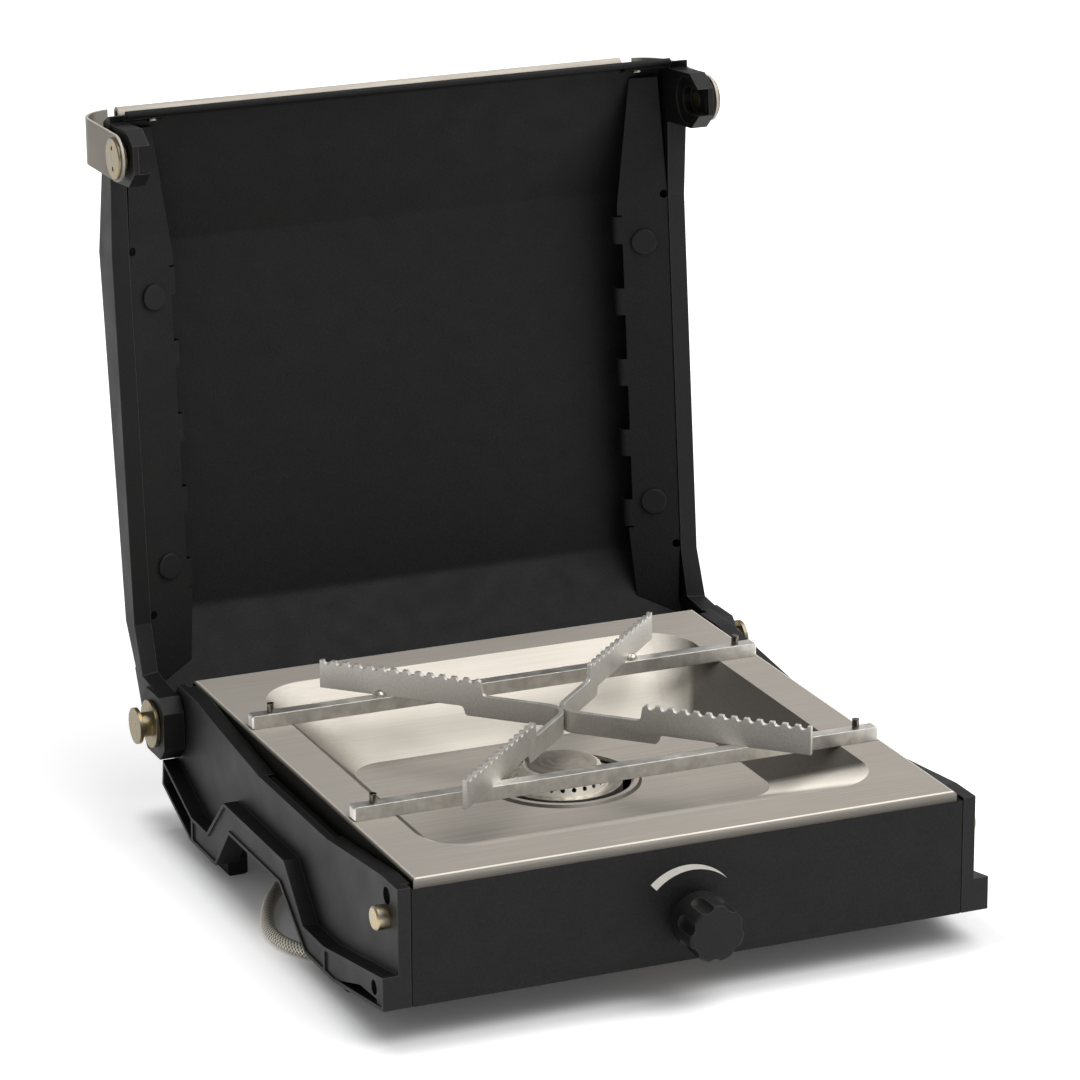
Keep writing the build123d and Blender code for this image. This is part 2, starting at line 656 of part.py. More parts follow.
# Drip tray: pressed sheet with a folded edge, a sloping recess and a beaded burner hole
def make_drip_tray():
    front = TRAY_FRONT_INSET
    rear = BASE_DEPTH - TRAY_REAR_INSET
    body = block(-TRAY_HALF, TRAY_HALF, front, rear, LEDGE_TOP, RIM_Z)
    body = fillet(body.faces().sort_by(Axis.Z)[-1].edges(), TRAY_EDGE_RADIUS)
    half = TRAY_HALF - TRAY_SHEET
    hollow_y = (front + TRAY_SHEET, rear - TRAY_SHEET)
    hollow = block(-half, half, *hollow_y, LEDGE_TOP - SHEET, RIM_Z - TRAY_SHEET)
    hollow = fillet(hollow.faces().sort_by(Axis.Z)[-1].edges(), TRAY_EDGE_RADIUS - TRAY_SHEET)
    tray = body - hollow
    grow = 2 * TRAY_SHEET
    outer = loft([
        rounded(FLOOR_WIDTH + grow, FLOOR_LENGTH + grow, FLOOR_CORNER, FLOOR_Z - TRAY_SHEET),
        rounded(RECESS_WIDTH + grow, RECESS_LENGTH + grow, RECESS_CORNER, RIM_Z - TRAY_SHEET),
    ])
    inner = loft([
        rounded(FLOOR_WIDTH, FLOOR_LENGTH, FLOOR_CORNER, FLOOR_Z),
        rounded(RECESS_WIDTH, RECESS_LENGTH, RECESS_CORNER, RIM_Z),
    ])
    tray = tray + outer - inner
    bead = [
        (TRAY_HOLE_RADIUS, FLOOR_Z),
        (TRAY_HOLE_RADIUS + BEAD_WIDTH / 4, FLOOR_Z + BEAD_HEIGHT),
        (TRAY_HOLE_RADIUS + BEAD_WIDTH * 3 / 4, FLOOR_Z + BEAD_HEIGHT),
        (TRAY_HOLE_RADIUS + BEAD_WIDTH, FLOOR_Z),
    ]
    tray += turned(bead, 0, CENTRE_Y)
    hole = rod_z(TRAY_HOLE_RADIUS, 0, CENTRE_Y, FLOOR_Z - 2 * TRAY_SHEET, FLOOR_Z + TRAY_SHEET)
    return tray - hole


# Burner bowl: pressed cup with a wide stepped rim, on a bracket over the pan
def make_burner_bowl():
    inner = BOWL_RADIUS - BOWL_WALL
    rim_top = BOWL_TOP + 2 * BOWL_STEP_HEIGHT
    shoulder = rim_top - BOWL_RIM_HEIGHT
    outline = [
        (0, BOWL_BOTTOM),
        (BOWL_RADIUS, BOWL_BOTTOM),
        (BOWL_RADIUS, shoulder - (BOWL_RIM_RADIUS - BOWL_RADIUS)),
        (BOWL_RIM_RADIUS, shoulder),
        (BOWL_RIM_RADIUS, rim_top),
        (BOWL_RIM_RADIUS - BOWL_STEP, rim_top),
        (BOWL_RIM_RADIUS - BOWL_STEP, BOWL_TOP + BOWL_STEP_HEIGHT),
        (BOWL_RIM_RADIUS - 2 * BOWL_STEP, BOWL_TOP + BOWL_STEP_HEIGHT),
        (BOWL_RIM_RADIUS - 2 * BOWL_STEP, BOWL_TOP),
        (inner, BOWL_TOP),
        (inner, BOWL_BOTTOM + BOWL_WALL),
        (0, BOWL_BOTTOM + BOWL_WALL),
    ]
    bowl = turned(outline, 0, CENTRE_Y)
    mouth_y = CENTRE_Y - 2 * BOWL_RADIUS
    return bowl - rod_y(MIXER_RADIUS + SCREW_FIT, 0, KNOB_AXIS_Z, mouth_y, CENTRE_Y)


def make_burner_bracket():
    half = BRACKET_WIDTH / 2
    y0 = CENTRE_Y - BRACKET_LENGTH / 2
    y1 = CENTRE_Y + BRACKET_LENGTH / 2
    bracket = block(-half, half, y0, y1, BOWL_BOTTOM - SHEET, BOWL_BOTTOM)
    for side in (-1, 1):
        leg = sorted((side * half, side * (half - SHEET)))
        foot = sorted((side * half, side * (half + BRACKET_FOOT)))
        bracket += block(*leg, y0, y1, PAN_TOP, BOWL_BOTTOM)
        bracket += block(*foot, y0, y1, PAN_TOP, PAN_TOP + SHEET)
    return bracket


# Flame ring: a thin cone with one row of ports and a flat top that carries the cap
def make_flame_ring():
    top = BOWL_TOP + FLAME_RING_HEIGHT
    wall = FLAME_RING_WALL
    outline = [
        (FLAME_RING_RADIUS, BOWL_TOP),
        (FLAME_RING_TOP_RADIUS, top),
        (CAP_RADIUS - 2 * wall, top),
        (CAP_RADIUS - 2 * wall, top - wall),
        (FLAME_RING_TOP_RADIUS - wall, top - wall),
        (FLAME_RING_RADIUS - wall, BOWL_TOP),
    ]
    ring = turned(outline, 0, CENTRE_Y)
    port_z = BOWL_TOP + FLAME_HOLE_LIFT
    for i in range(FLAME_HOLES):
        turn = Pos(0, CENTRE_Y, 0) * Rot(0, 0, 360 * (i + 0.5) / FLAME_HOLES)
        ring -= turn * rod_x(FLAME_HOLE_RADIUS, 0, port_z, CAP_RADIUS, BOWL_RIM_RADIUS)
    return ring


def make_burner_cap():
    low = BOWL_TOP + FLAME_RING_HEIGHT
    high = low + CAP_HEIGHT
    dome = (CAP_RADIUS**2 + CAP_RISE**2) / (2 * CAP_RISE)
    return rod_z(CAP_RADIUS, 0, CENTRE_Y, low, high) & Pos(0, CENTRE_Y, high - dome) * Sphere(dome)


# Mixer tube: takes gas from the jet and air from its ports to the bowl
def make_mixer_tube():
    start = VALVE_END_Y + JET_LENGTH - MIXER_OVERLAP
    end = CENTRE_Y - BOWL_RADIUS + 3 * BOWL_WALL
    tube = rod_y(MIXER_RADIUS, 0, KNOB_AXIS_Z, start, end)
    tube -= rod_y(MIXER_RADIUS - MIXER_WALL, 0, KNOB_AXIS_Z, start + SHEET, end + SHEET)
    tube -= rod_y(JET_RADIUS + SCREW_FIT, 0, KNOB_AXIS_Z, start - SHEET, start + 2 * SHEET)
    port_y = start + MIXER_OVERLAP + 2 * AIR_HOLE_RADIUS
    tube -= rod_x(AIR_HOLE_RADIUS, port_y, KNOB_AXIS_Z, -2 * MIXER_RADIUS, 2 * MIXER_RADIUS)
    return tube


def make_gas_jet():
    return rod_y(JET_RADIUS, 0, KNOB_AXIS_Z, VALVE_END_Y, VALVE_END_Y + JET_LENGTH)


def make_valve_body():
    z0 = KNOB_AXIS_Z - VALVE_HALF_HEIGHT
    z1 = KNOB_AXIS_Z + VALVE_HALF_HEIGHT
    body = block(-VALVE_HALF_WIDTH, VALVE_HALF_WIDTH, VALVE_SET_BACK, VALVE_END_Y, z0, z1)
    body = chamfer(body.edges().filter_by(Axis.Y), SHEET)
    body += rod_y(VALVE_NECK_RADIUS, 0, KNOB_AXIS_Z, -VALVE_NECK_PROUD, VALVE_SET_BACK)
    bore = STEM_RADIUS + RUNNING_FIT
    return body - rod_y(bore, 0, KNOB_AXIS_Z, -2 * VALVE_NECK_PROUD, STEM_DEPTH)


def make_valve_nut():
    """Hex nut that clamps the panel against the valve's shoulder."""
    prism = extrude(RegularPolygon(VALVE_NUT_RADIUS, 6), amount=VALVE_SET_BACK - SHEET)
    nut = Pos(0, SHEET, KNOB_AXIS_Z) * Rot(-90, 0, 0) * prism
    return nut - rod_y(VALVE_NECK_RADIUS + SCREW_FIT, 0, KNOB_AXIS_Z, 0, VALVE_SET_BACK)


def make_gas_inlet_elbow():
    top = KNOB_AXIS_Z - VALVE_HALF_HEIGHT
    elbow = rod_z(ELBOW_RADIUS, 0, ELBOW_Y, ELBOW_Z, top)
    elbow += rod_y(ELBOW_RADIUS, 0, ELBOW_Z, ELBOW_Y, ELBOW_Y + ELBOW_LENGTH)
    return elbow + Pos(0, ELBOW_Y, ELBOW_Z) * Sphere(ELBOW_RADIUS)


def make_hinge_pin():
    inner = FRAME_LIP_X + SHEET
    seat = HINGE_LUG_X + BAIL_GAP / 2
    disc = seat + PIN_DISC
    neck = disc + SPOOL_NECK
    pin = rod_x(PIN_RADIUS, HINGE_Y, HINGE_Z, inner, seat)
    pin += rod_x(PIN_DISC_RADIUS, HINGE_Y, HINGE_Z, seat, disc)
    pin += rod_x(SPOOL_NECK_RADIUS, HINGE_Y, HINGE_Z, disc, neck)
    return pin + rod_x(SPOOL_CAP_RADIUS, HINGE_Y, HINGE_Z, neck, neck + SPOOL_CAP)


def make_latch_stud():
    end = WALL_OUTER_X + STUD_LENGTH
    head = rod_x(STUD_RADIUS, STUD_Y, HINGE_Z, WALL_OUTER_X, end)
    head = chamfer(head.faces().sort_by(Axis.X)[-1].edges(), STUD_EDGE)
    return head + rod_x(STUD_SHANK_RADIUS, STUD_Y, HINGE_Z, FRAME_LIP_X, WALL_OUTER_X)


def corner_rivet_hole():
    """A bore through the lid sheet and the rail's tab."""
    return Cylinder(CORNER_RIVET_SHANK + SCREW_FIT, 3 * (SHEET + CORNER_TAB))


# Lid panel: one folded sheet with a rolled front edge
def make_lid_panel():
    radii = [LID_BEND, LID_BEND, LID_FRONT_BEND]
    line = FilletPolyline(*[lid_point(u, n) for u, n in LID_CORNERS], radius=radii)
    face = Plane.YZ * trace(line, SHEET)
    panel = Pos(-LID_SIDE_X, 0, 0) * extrude(face, amount=2 * LID_SIDE_X, dir=(1, 0, 0))
    y, z = lid_point(*LID_FRONT_EDGE)
    panel += rod_x(HEM_RADIUS, y, z, -LID_SIDE_X, LID_SIDE_X)
    for x in (-CORNER_RIVET_X, CORNER_RIVET_X):
        panel -= on_front_facet(x, CORNER_RIVET_U) * corner_rivet_hole()
    return panel


def on_flange(shape):
    """Puts a shape drawn flat (x inward negative, y as it lies, z to the back) on the tilted flange."""
    return Pos(LID_SIDE_X, 0, HINGE_Z + FLANGE_HEIGHT) * Rot(0, FLANGE_TILT, 0) * shape


def lid_room():
    """The space under the lid panel, as far out as the rails."""
    under = SHEET / 2 + FLANGE_CLEARANCE
    roof = [lid_point(u, n - under) for u, n in LID_CORNERS]
    floor = [(roof[-1][0], HINGE_Z), (roof[0][0], HINGE_Z)]
    return side_plate(roof + floor, 0, LID_SIDE_X)


def flange_plan():
    """Outline of the flat flange: tapering tongues at both ends, slits beside the rail."""
    outer = -SHEET * tan(radians(FLANGE_TILT))
    inner = -FLANGE_WIDTH
    front_y = HINGE_Y - TONGUE_END_U
    rear_y = HINGE_Y - LID_REAR_EDGE[0]
    return [
        (outer - RELIEF_TAPER, front_y),
        (outer, HINGE_Y - RELIEF_FRONT_U),
        (outer, HINGE_Y - RELIEF_REAR_U),
        (outer - RELIEF_TAPER, rear_y),
        (inner + TONGUE_REAR_TAPER, rear_y),
        (inner, HINGE_Y - TONGUE_REAR_U),
        (inner, HINGE_Y - TONGUE_FRONT_U),
        (inner + TONGUE_FRONT_TAPER, front_y),
    ]


def tab_places():
    """y of the middle of each tab."""
    first = HINGE_Y - RELIEF_FRONT_U + TAB_END
    last = HINGE_Y - RELIEF_REAR_U - TAB_END
    pitch = (last - first) / (TAB_COUNT - 1)
    return [first + i * pitch for i in range(TAB_COUNT)]


# Side flange: a tilted sheet strip inside the lid, with tongues, relief holes and folded tabs
def make_side_flange():
    flange = extrude(make_face(Polyline(*flange_plan(), close=True)), amount=SHEET, dir=(0, 0, 1))
    for u in (RELIEF_REAR_U, RELIEF_FRONT_U):
        flange -= rod_z(RELIEF_RADIUS, -RELIEF_RADIUS, HINGE_Y - u, -SHEET, 2 * SHEET)
    for u in PUSH_RIVET_U:
        flange -= rod_z(PUSH_RIVET_SHANK + SCREW_FIT, -PUSH_RIVET_W, HINGE_Y - u, -SHEET, 2 * SHEET)
    edge = FLANGE_RECESS - FLANGE_WIDTH
    tabs = tab_places()
    half = TAB_LENGTH / 2
    recess_y = (tabs[0] - half - SHEET, tabs[-1] + half + SHEET)
    flange -= block(-2 * FLANGE_WIDTH, edge, *recess_y, -SHEET, 2 * SHEET)
    end = -FLANGE_WIDTH - TAB_REACH
    fold = FilletPolyline((edge, SHEET / 2), (end, SHEET / 2), (end, TAB_DROP), radius=TAB_BEND)
    section = Plane.XZ * trace(fold, SHEET)
    for y in tabs:
        flange += Pos(0, y + half, 0) * extrude(section, amount=TAB_LENGTH, dir=(0, -1, 0))
    return on_flange(flange) & lid_room()


def rail_side(inset):
    """Side outline of the lid rail, its outer line drawn in by inset."""
    (u0, n0), (u1, n1), (u2, n2), (u3, n3), (u4, n4) = LID_CORNERS
    half = inset / 2
    outer = [(u0, n0 - half), (u1, n1 - inset), (u2, n2 - inset), (u3, n3 - half), (u4, n4)]
    inner = [
        (u4, n4 - HEM_RADIUS),
        (u3 - RAIL_END_STEP, n3 - RAIL_END_DEPTH - half),
        (u2, RAIL_FRONT),
        (u1, RAIL_FRONT),
        (u0 + RAIL_END_STEP, n0 - RAIL_REAR_DEPTH - half),
    ]
    return [lid_point(u, n) for u, n in outer + inner]


def latch_lug_outline():
    """(y, z) of the latch lug: a block with cut front corners about the bail's pivot."""
    half = LATCH_LUG
    flat = half - LATCH_LUG_CORNER
    front = -LATCH_LUG_FRONT
    cut = front + LATCH_LUG_CORNER_DEPTH
    lower = [(-half, cut), (-flat, front), (flat, front), (half, cut)]
    upper = [(half, LATCH_LUG_RISE), (-half, LATCH_LUG_RISE)]
    return [lid_point(LATCH_REACH + u, n) for u, n in lower + upper]


def hinge_lug():
    """A square lug with cut corners about the hinge pin, level when the lid is open."""
    half = HINGE_LUG
    flat = half - HINGE_LUG_CORNER
    rear = [(flat, -half), (half, -flat), (half, flat), (flat, half)]
    front = [(-flat, half), (-half, flat), (-half, -flat), (-flat, -half)]
    corners = [lid_point(u, n) for u, n in rear + front]
    return side_plate(corners, LID_SIDE_X, HINGE_LUG_X).rotate(HINGE_AXIS, OPEN_ANGLE - 90)


def rail_shelf():
    """The rail's strip behind the flange, which takes the push rivets."""
    y0 = HINGE_Y - RELIEF_FRONT_U + RAIL_SHELF_END
    y1 = HINGE_Y - RELIEF_REAR_U - RAIL_SHELF_END
    shelf = block(-RAIL_SHELF_WIDTH, RAIL_SHELF_WIDTH, y0, y1, SHEET, SHEET + RAIL_SHELF)
    for u in PUSH_RIVET_U:
        shelf -= rod_z(PUSH_RIVET_SHANK + SCREW_FIT, -PUSH_RIVET_W, HINGE_Y - u, 0, 2 * RAIL_SHELF)
    return on_flange(shelf) & lid_room()


# Right lid rail: moulded band, shelf behind the flange, hinge lug, hollow latch lug, corner tab
def make_lid_rail():
    inner_side = Pos(LID_SIDE_X, 0, 0) * side_face(rail_side(0))
    outer_side = Pos(LID_RAIL_X, 0, 0) * side_face(rail_side(RAIL_SLOPE))
    rail = loft([inner_side, outer_side], ruled=True)
    rail += hinge_lug()
    rear_u, rear_n = LID_REAR_CORNER
    bend = (rear_u / 2, (rear_n + RAIL_SLOPE) / 2)
    neck = [(-HINGE_LUG, 0), (HINGE_LUG, 0), bend, LID_REAR_EDGE]
    rail += side_plate([lid_point(u, n) for u, n in neck], LID_SIDE_X, LID_RAIL_X)
    rail += side_plate(latch_lug_outline(), LID_SIDE_X, LUG_X)
    rail += rail_shelf()
    tab_x = LID_SIDE_X - CORNER_TAB_WIDTH / 2
    tab_z = -SHEET / 2 - CORNER_TAB / 2
    tab = Pos(0, 0, tab_z) * Box(CORNER_TAB_WIDTH, CORNER_TAB_LENGTH, CORNER_TAB)
    rail += on_front_facet(tab_x, CORNER_RIVET_U) * tab
    rail -= on_front_facet(CORNER_RIVET_X, CORNER_RIVET_U) * corner_rivet_hole()
    cavity_x = (LID_SIDE_X - SHEET, LUG_X - LUG_WALL)
    rail -= rod_x(CAM_RADIUS + CAM_GAP, STUD_Y, HINGE_Z, *cavity_x)
    mouth_y = (STUD_Y - MOUTH_HALF_WIDTH, STUD_Y + MOUTH_HALF_WIDTH)
    mouth_x = (LID_SIDE_X - SHEET, LUG_X - MOUTH_WALL)
    rail -= block(*mouth_x, *mouth_y, HINGE_Z - 2 * LATCH_LUG_FRONT, HINGE_Z)
    rail -= rod_x(RIVET_RADIUS + RUNNING_FIT, STUD_Y, HINGE_Z, LID_SIDE_X, LUG_X + SHEET)
    pin_x = (LID_SIDE_X - SHEET, HINGE_LUG_X + SHEET)
    return rail - rod_x(PIN_RADIUS + RUNNING_FIT, HINGE_Y, HINGE_Z, *pin_x)


def make_push_rivets():
    rivets = []
    for u in PUSH_RIVET_U:
        y = HINGE_Y - u
        head = rod_z(PUSH_RIVET_RADIUS, -PUSH_RIVET_W, y, -PUSH_RIVET_HEAD, 0)
        head = fillet(head.faces().sort_by(Axis.Z)[0].edges(), PUSH_RIVET_HEAD / 2)
        shank_top = 2 * SHEET + RAIL_SHELF
        rivets.append(on_flange(head + rod_z(PUSH_RIVET_SHANK, -PUSH_RIVET_W, y, 0, shank_top)))
    return both_sides(Compound(rivets))


def make_corner_rivets():
    """Domed rivets that hold the rails' front tabs to the lid panel."""
    outside = SHEET / 2
    inside = -SHEET / 2 - CORNER_TAB
    head = fillet(
        rod_z(CORNER_RIVET_RADIUS, 0, 0, outside, outside + CORNER_RIVET_HEAD)
        .faces().sort_by(Axis.Z)[-1].edges(),
        CORNER_RIVET_HEAD / 2,
    )
    rivet = head + rod_z(CORNER_RIVET_SHANK, 0, 0, inside, outside)
    rivet += rod_z(CORNER_RIVET_TAIL, 0, 0, inside - CORNER_RIVET_HEAD, inside)
    return both_sides(on_front_facet(CORNER_RIVET_X, CORNER_RIVET_U) * rivet)


# Carry bail: one bent strap whose front edge is rolled into a grip between two notches
def make_bail():
    outer = ARM_X + STRAP
    low = HINGE_Z - STRAP_WIDTH / 2
    high = HINGE_Z + BAIL_REACH
    y0 = STUD_Y - STRAP_WIDTH / 2
    y1 = STUD_Y + STRAP_WIDTH / 2
    whole = block(-outer, outer, y0, y1, low, high)
    whole = fillet(whole.edges().filter_by(Axis.Y).group_by(Axis.Z)[-1], BAIL_BEND)
    inside = block(-ARM_X, ARM_X, y0 - SHEET, y1 + SHEET, low - SHEET, high - STRAP)
    inside = fillet(inside.edges().filter_by(Axis.Y).group_by(Axis.Z)[-1], BAIL_BEND - STRAP)
    strap = whole - inside
    ends = block(-outer, outer, y0, y1, low, HINGE_Z)
    strap -= ends - rod_x(STRAP_WIDTH / 2, STUD_Y, HINGE_Z, -outer, outer)
    half = GRIP_HALF_LENGTH
    notch = half + GRIP_NOTCH
    strap -= block(-notch, notch, y0 - SHEET, y0 + GRIP_NOTCH_DEPTH, high - 2 * BAIL_BEND, high + STRAP)
    roll_y = y0 + GRIP_ROLL_RADIUS
    roll_z = high - STRAP + GRIP_ROLL_RADIUS
    roll = rod_x(GRIP_ROLL_RADIUS, roll_y, roll_z, -half, half)
    roll -= rod_x(GRIP_ROLL_RADIUS - STRAP, roll_y, roll_z, -half, half)
    roll -= block(-half, half, roll_y, roll_y + GRIP_ROLL_RADIUS, high - STRAP, roll_z)
    strap += roll + block(-half, half, roll_y, y1, high - STRAP, high)
    strap -= rod_x(RIVET_RADIUS + SCREW_FIT, STUD_Y, HINGE_Z, -outer, outer)
    return strap.rotate(BAIL_AXIS, BAIL_REST)


def make_pivot_rivet():
    seat = ARM_X + STRAP
    inner = LUG_X - LUG_WALL - CAM_GAP - CAM_DISC
    head = rod_x(RIVET_HEAD_RADIUS, STUD_Y, HINGE_Z, seat, seat + RIVET_HEAD)
    head = fillet(head.faces().sort_by(Axis.X)[-1].edges(), RIVET_HEAD / 2)
    for side in (-1, 1):
        y = STUD_Y + side * RIVET_DIMPLE_OFFSET
        head -= rod_x(RIVET_DIMPLE_RADIUS, y, HINGE_Z, seat + RIVET_HEAD / 2, seat + 2 * RIVET_HEAD)
    shoulder = rod_x(RIVET_SHOULDER_RADIUS, STUD_Y, HINGE_Z, LUG_X + BAIL_GAP, ARM_X)
    return head + shoulder + rod_x(RIVET_RADIUS, STUD_Y, HINGE_Z, inner, seat)


# Latch cam: a horseshoe that turns with the bail and closes the lug's mouth under the stud
def make_latch_cam():
    disc_end = LUG_X - LUG_WALL - CAM_GAP
    disc_start = disc_end - CAM_DISC
    ring_start = disc_start - CAM_RING
    cam = rod_x(CAM_RADIUS, STUD_Y, HINGE_Z, ring_start, disc_end)
    cam -= rod_x(CAM_BORE, STUD_Y, HINGE_Z, ring_start - SHEET, disc_start)
    mouth_y = (STUD_Y - CAM_BORE, STUD_Y + CAM_BORE)
    cam -= block(ring_start - SHEET, disc_start, *mouth_y, HINGE_Z - 2 * CAM_RADIUS, HINGE_Z)
    return cam - rod_x(RIVET_RADIUS + SCREW_FIT, STUD_Y, HINGE_Z, disc_start - SHEET, disc_end + SHEET)


# Knob: a round cap with finger scoops round its face, on a narrow neck over the valve's stem
def make_knob():
    face = -KNOB_REACH
    back = -KNOB_STANDOFF - KNOB_NECK
    knob = rod_y(KNOB_RADIUS, 0, KNOB_AXIS_Z, face, back)
    knob = fillet(knob.faces().sort_by(Axis.Y)[0].edges(), KNOB_EDGE)
    reach = KNOB_RADIUS + KNOB_SCOOP_RADIUS - KNOB_SCOOP_DEPTH
    for i in range(KNOB_SCOOPS):
        angle = radians(360 * i / KNOB_SCOOPS + KNOB_SCOOP_TURN)
        x = reach * cos(angle)
        z = KNOB_AXIS_Z + reach * sin(angle)
        knob -= rod_y(KNOB_SCOOP_RADIUS, x, z, face - KNOB_EDGE, face + KNOB_SCOOP_LENGTH)
        knob -= Pos(x, face + KNOB_SCOOP_LENGTH, z) * Sphere(KNOB_SCOOP_RADIUS)
    knob += rod_y(KNOB_NECK_RADIUS, 0, KNOB_AXIS_Z, back, -KNOB_STANDOFF)
    socket = STEM_RADIUS + SCREW_FIT
    return knob - rod_y(socket, 0, KNOB_AXIS_Z, -KNOB_STANDOFF - STEM_GRIP, 0)


def make_valve_stem():
    return rod_y(STEM_RADIUS, 0, KNOB_AXIS_Z, -KNOB_STANDOFF - STEM_GRIP, STEM_DEPTH)


# Pan support: two square bars, two bent toothed strips, pins and weld beads
def make_bar(y):
    bar = block(-BAR_HALF_LENGTH, BAR_HALF_LENGTH, y - BAR / 2, y + BAR / 2, RIM_Z, BAR_TOP)
    ends = [bar.faces().sort_by(Axis.X)[0], bar.faces().sort_by(Axis.X)[-1]]
    return chamfer([edge for end in ends for edge in end.edges()], BAR_EDGE)


def side_cut(bends, corners):
    """A cutter seen along an arm, (distance, z): a line with two round bends, closed by corners."""
    line = FilletPolyline(*bends, radius=STRIP_CORNER)
    closing = Polyline(bends[-1], *corners, bends[0])
    face = Plane.XZ * make_face(line.edges() + closing.edges())
    return extrude(face, amount=3 * STRIP, both=True)


def make_strip():
    """The right-hand strip: bent to a V at the centre, stepped, with scalloped teeth on its arms."""
    apex = (STRIP + STRIP_GAP) / 2 - STRIP_BEND * (1 / cos(radians(45)) - 1)
    arm = STRIP_REACH - apex
    rear = (STRIP_REACH, CENTRE_Y + arm)
    front = (STRIP_REACH, CENTRE_Y - arm)
    line = FilletPolyline(rear, (apex, CENTRE_Y), front, radius=STRIP_BEND)
    low = BAR_TOP - STRIP_MIDDLE_DROP
    high = BAR_TOP + STRIP_TOOTH_TOP
    strip = Pos(0, 0, low) * extrude(trace(line, STRIP), amount=high - low, dir=(0, 0, 1))
    shoulder = STRIP_SHOULDER * 2**0.5
    step = STRIP_STEP * 2**0.5
    end = arm * 2**0.5
    middle = BAR_TOP + STRIP_MIDDLE_TOP
    lead = 3 * STRIP_CORNER
    crown = shoulder + STRIP_LEAN
    heel = step - STRIP_LEAN
    above = side_cut(
        [(-2 * STRIP, middle), (shoulder, middle), (crown, high), (crown + lead, high)],
        [(crown + lead, high + STRIP), (-2 * STRIP, high + STRIP)],
    )
    below = side_cut(
        [(2 * end, BAR_TOP), (step, BAR_TOP), (heel, low), (heel - lead, low)],
        [(heel - lead, low - STRIP), (2 * end, low - STRIP)],
    )
    pitch = (end - shoulder) / (TOOTH_COUNT + TOOTH_MARGIN)
    for side in (-1, 1):
        along = Pos(apex, CENTRE_Y, 0) * Rot(0, 0, 45 * side)
        strip -= along * above
        strip -= along * below
        for i in range(TOOTH_COUNT):
            strip -= along * rod_y(TOOTH_RADIUS, shoulder + (i + TOOTH_LEAD) * pitch, high, -STRIP, STRIP)
    return strip


def make_support_pins():
    top = BAR_TOP + SUPPORT_PIN_HEIGHT
    pins = [rod_z(SUPPORT_PIN_RADIUS, SUPPORT_PIN_X, y, BAR_TOP, top) for y in BAR_YS]
    return both_sides(Compound(pins))


def build_hose():
    """The hose's tube on straight runs and tangent arcs, with its line."""
    points = [Vector(*p) for p in HOSE_POINTS]
    runs = [b - a for a, b in zip(points, points[1:])]
    radii = []
    for before, after in zip(runs, runs[1:]):
        half_turn = radians(before.get_angle(after)) / 2
        radii.append(HOSE_BEND_SHARE * min(before.length, after.length) / tan(half_turn))
    line = FilletPolyline(*points, radius=radii)
    section = Plane(line @ 0, z_dir=line % 0) * Circle(HOSE_RADIUS)
    tube = sweep(section, line)
    expected = section.area * line.length
    print("hose length", round(line.length, 1), "radii", [round(r) for r in radii])
    print("hose volume over section times length", round(tube.volume / expected, 4))
    return tube, line


def make_weld_beads(strip):
    """Weld beads where the strips' arms cross the bars."""
    beads = []
    for y in BAR_YS:
        over_bar = block(0, BAR_HALF_LENGTH, y - BAR / 2, y + BAR / 2, BAR_TOP, 2 * BAR_TOP)
        bead = Pos(BAR_HALF_SPACING, y, BAR_TOP) * Sphere(WELD_RADIUS) & over_bar
        beads.append(bead - strip)
    return both_sides(Compound(beads))


def along_hose(line, at, length):
    """A place on the hose's line, with its Z along the hose, length further on or back."""
    return Plane(line @ at, z_dir=(line % at) * (1 if length > 0 else -1)).location


def make_ferrule(line, at, direction):
    """A crimped sleeve over one end of the hose."""
    place = along_hose(line, at, direction)
    sleeve = rod_z(FERRULE_RADIUS, 0, 0, 0, FERRULE_LENGTH)
    return place * (sleeve - rod_z(HOSE_RADIUS + SCREW_FIT, 0, 0, -SHEET, FERRULE_LENGTH + SHEET))


def make_hose_nut(line):
    """Swivel nut beyond the hose's end, with the bore that takes the supply's nipple."""
    outline = RegularPolygon(NUT_FLATS / 2, 6, major_radius=False, rotation=30)
    hexagon = extrude(outline, amount=NUT_LENGTH)
    bore = rod_z(NUT_BORE, 0, 0, NUT_LENGTH - NUT_DEPTH, NUT_LENGTH + SHEET)
    return along_hose(line, 1, 1) * (hexagon - bore)


hose, hose_line = build_hose()
frame = make_end_frame()
pin = make_hinge_pin()
stud = make_latch_stud()
front_foot = make_foot(FRONT_FOOT_Y)
rear_foot = make_foot(REAR_FOOT_Y)
flange = make_side_flange()
lid_rail = make_lid_rail()
rivet = make_pivot_rivet()
cam = make_latch_cam()
strip = make_strip()

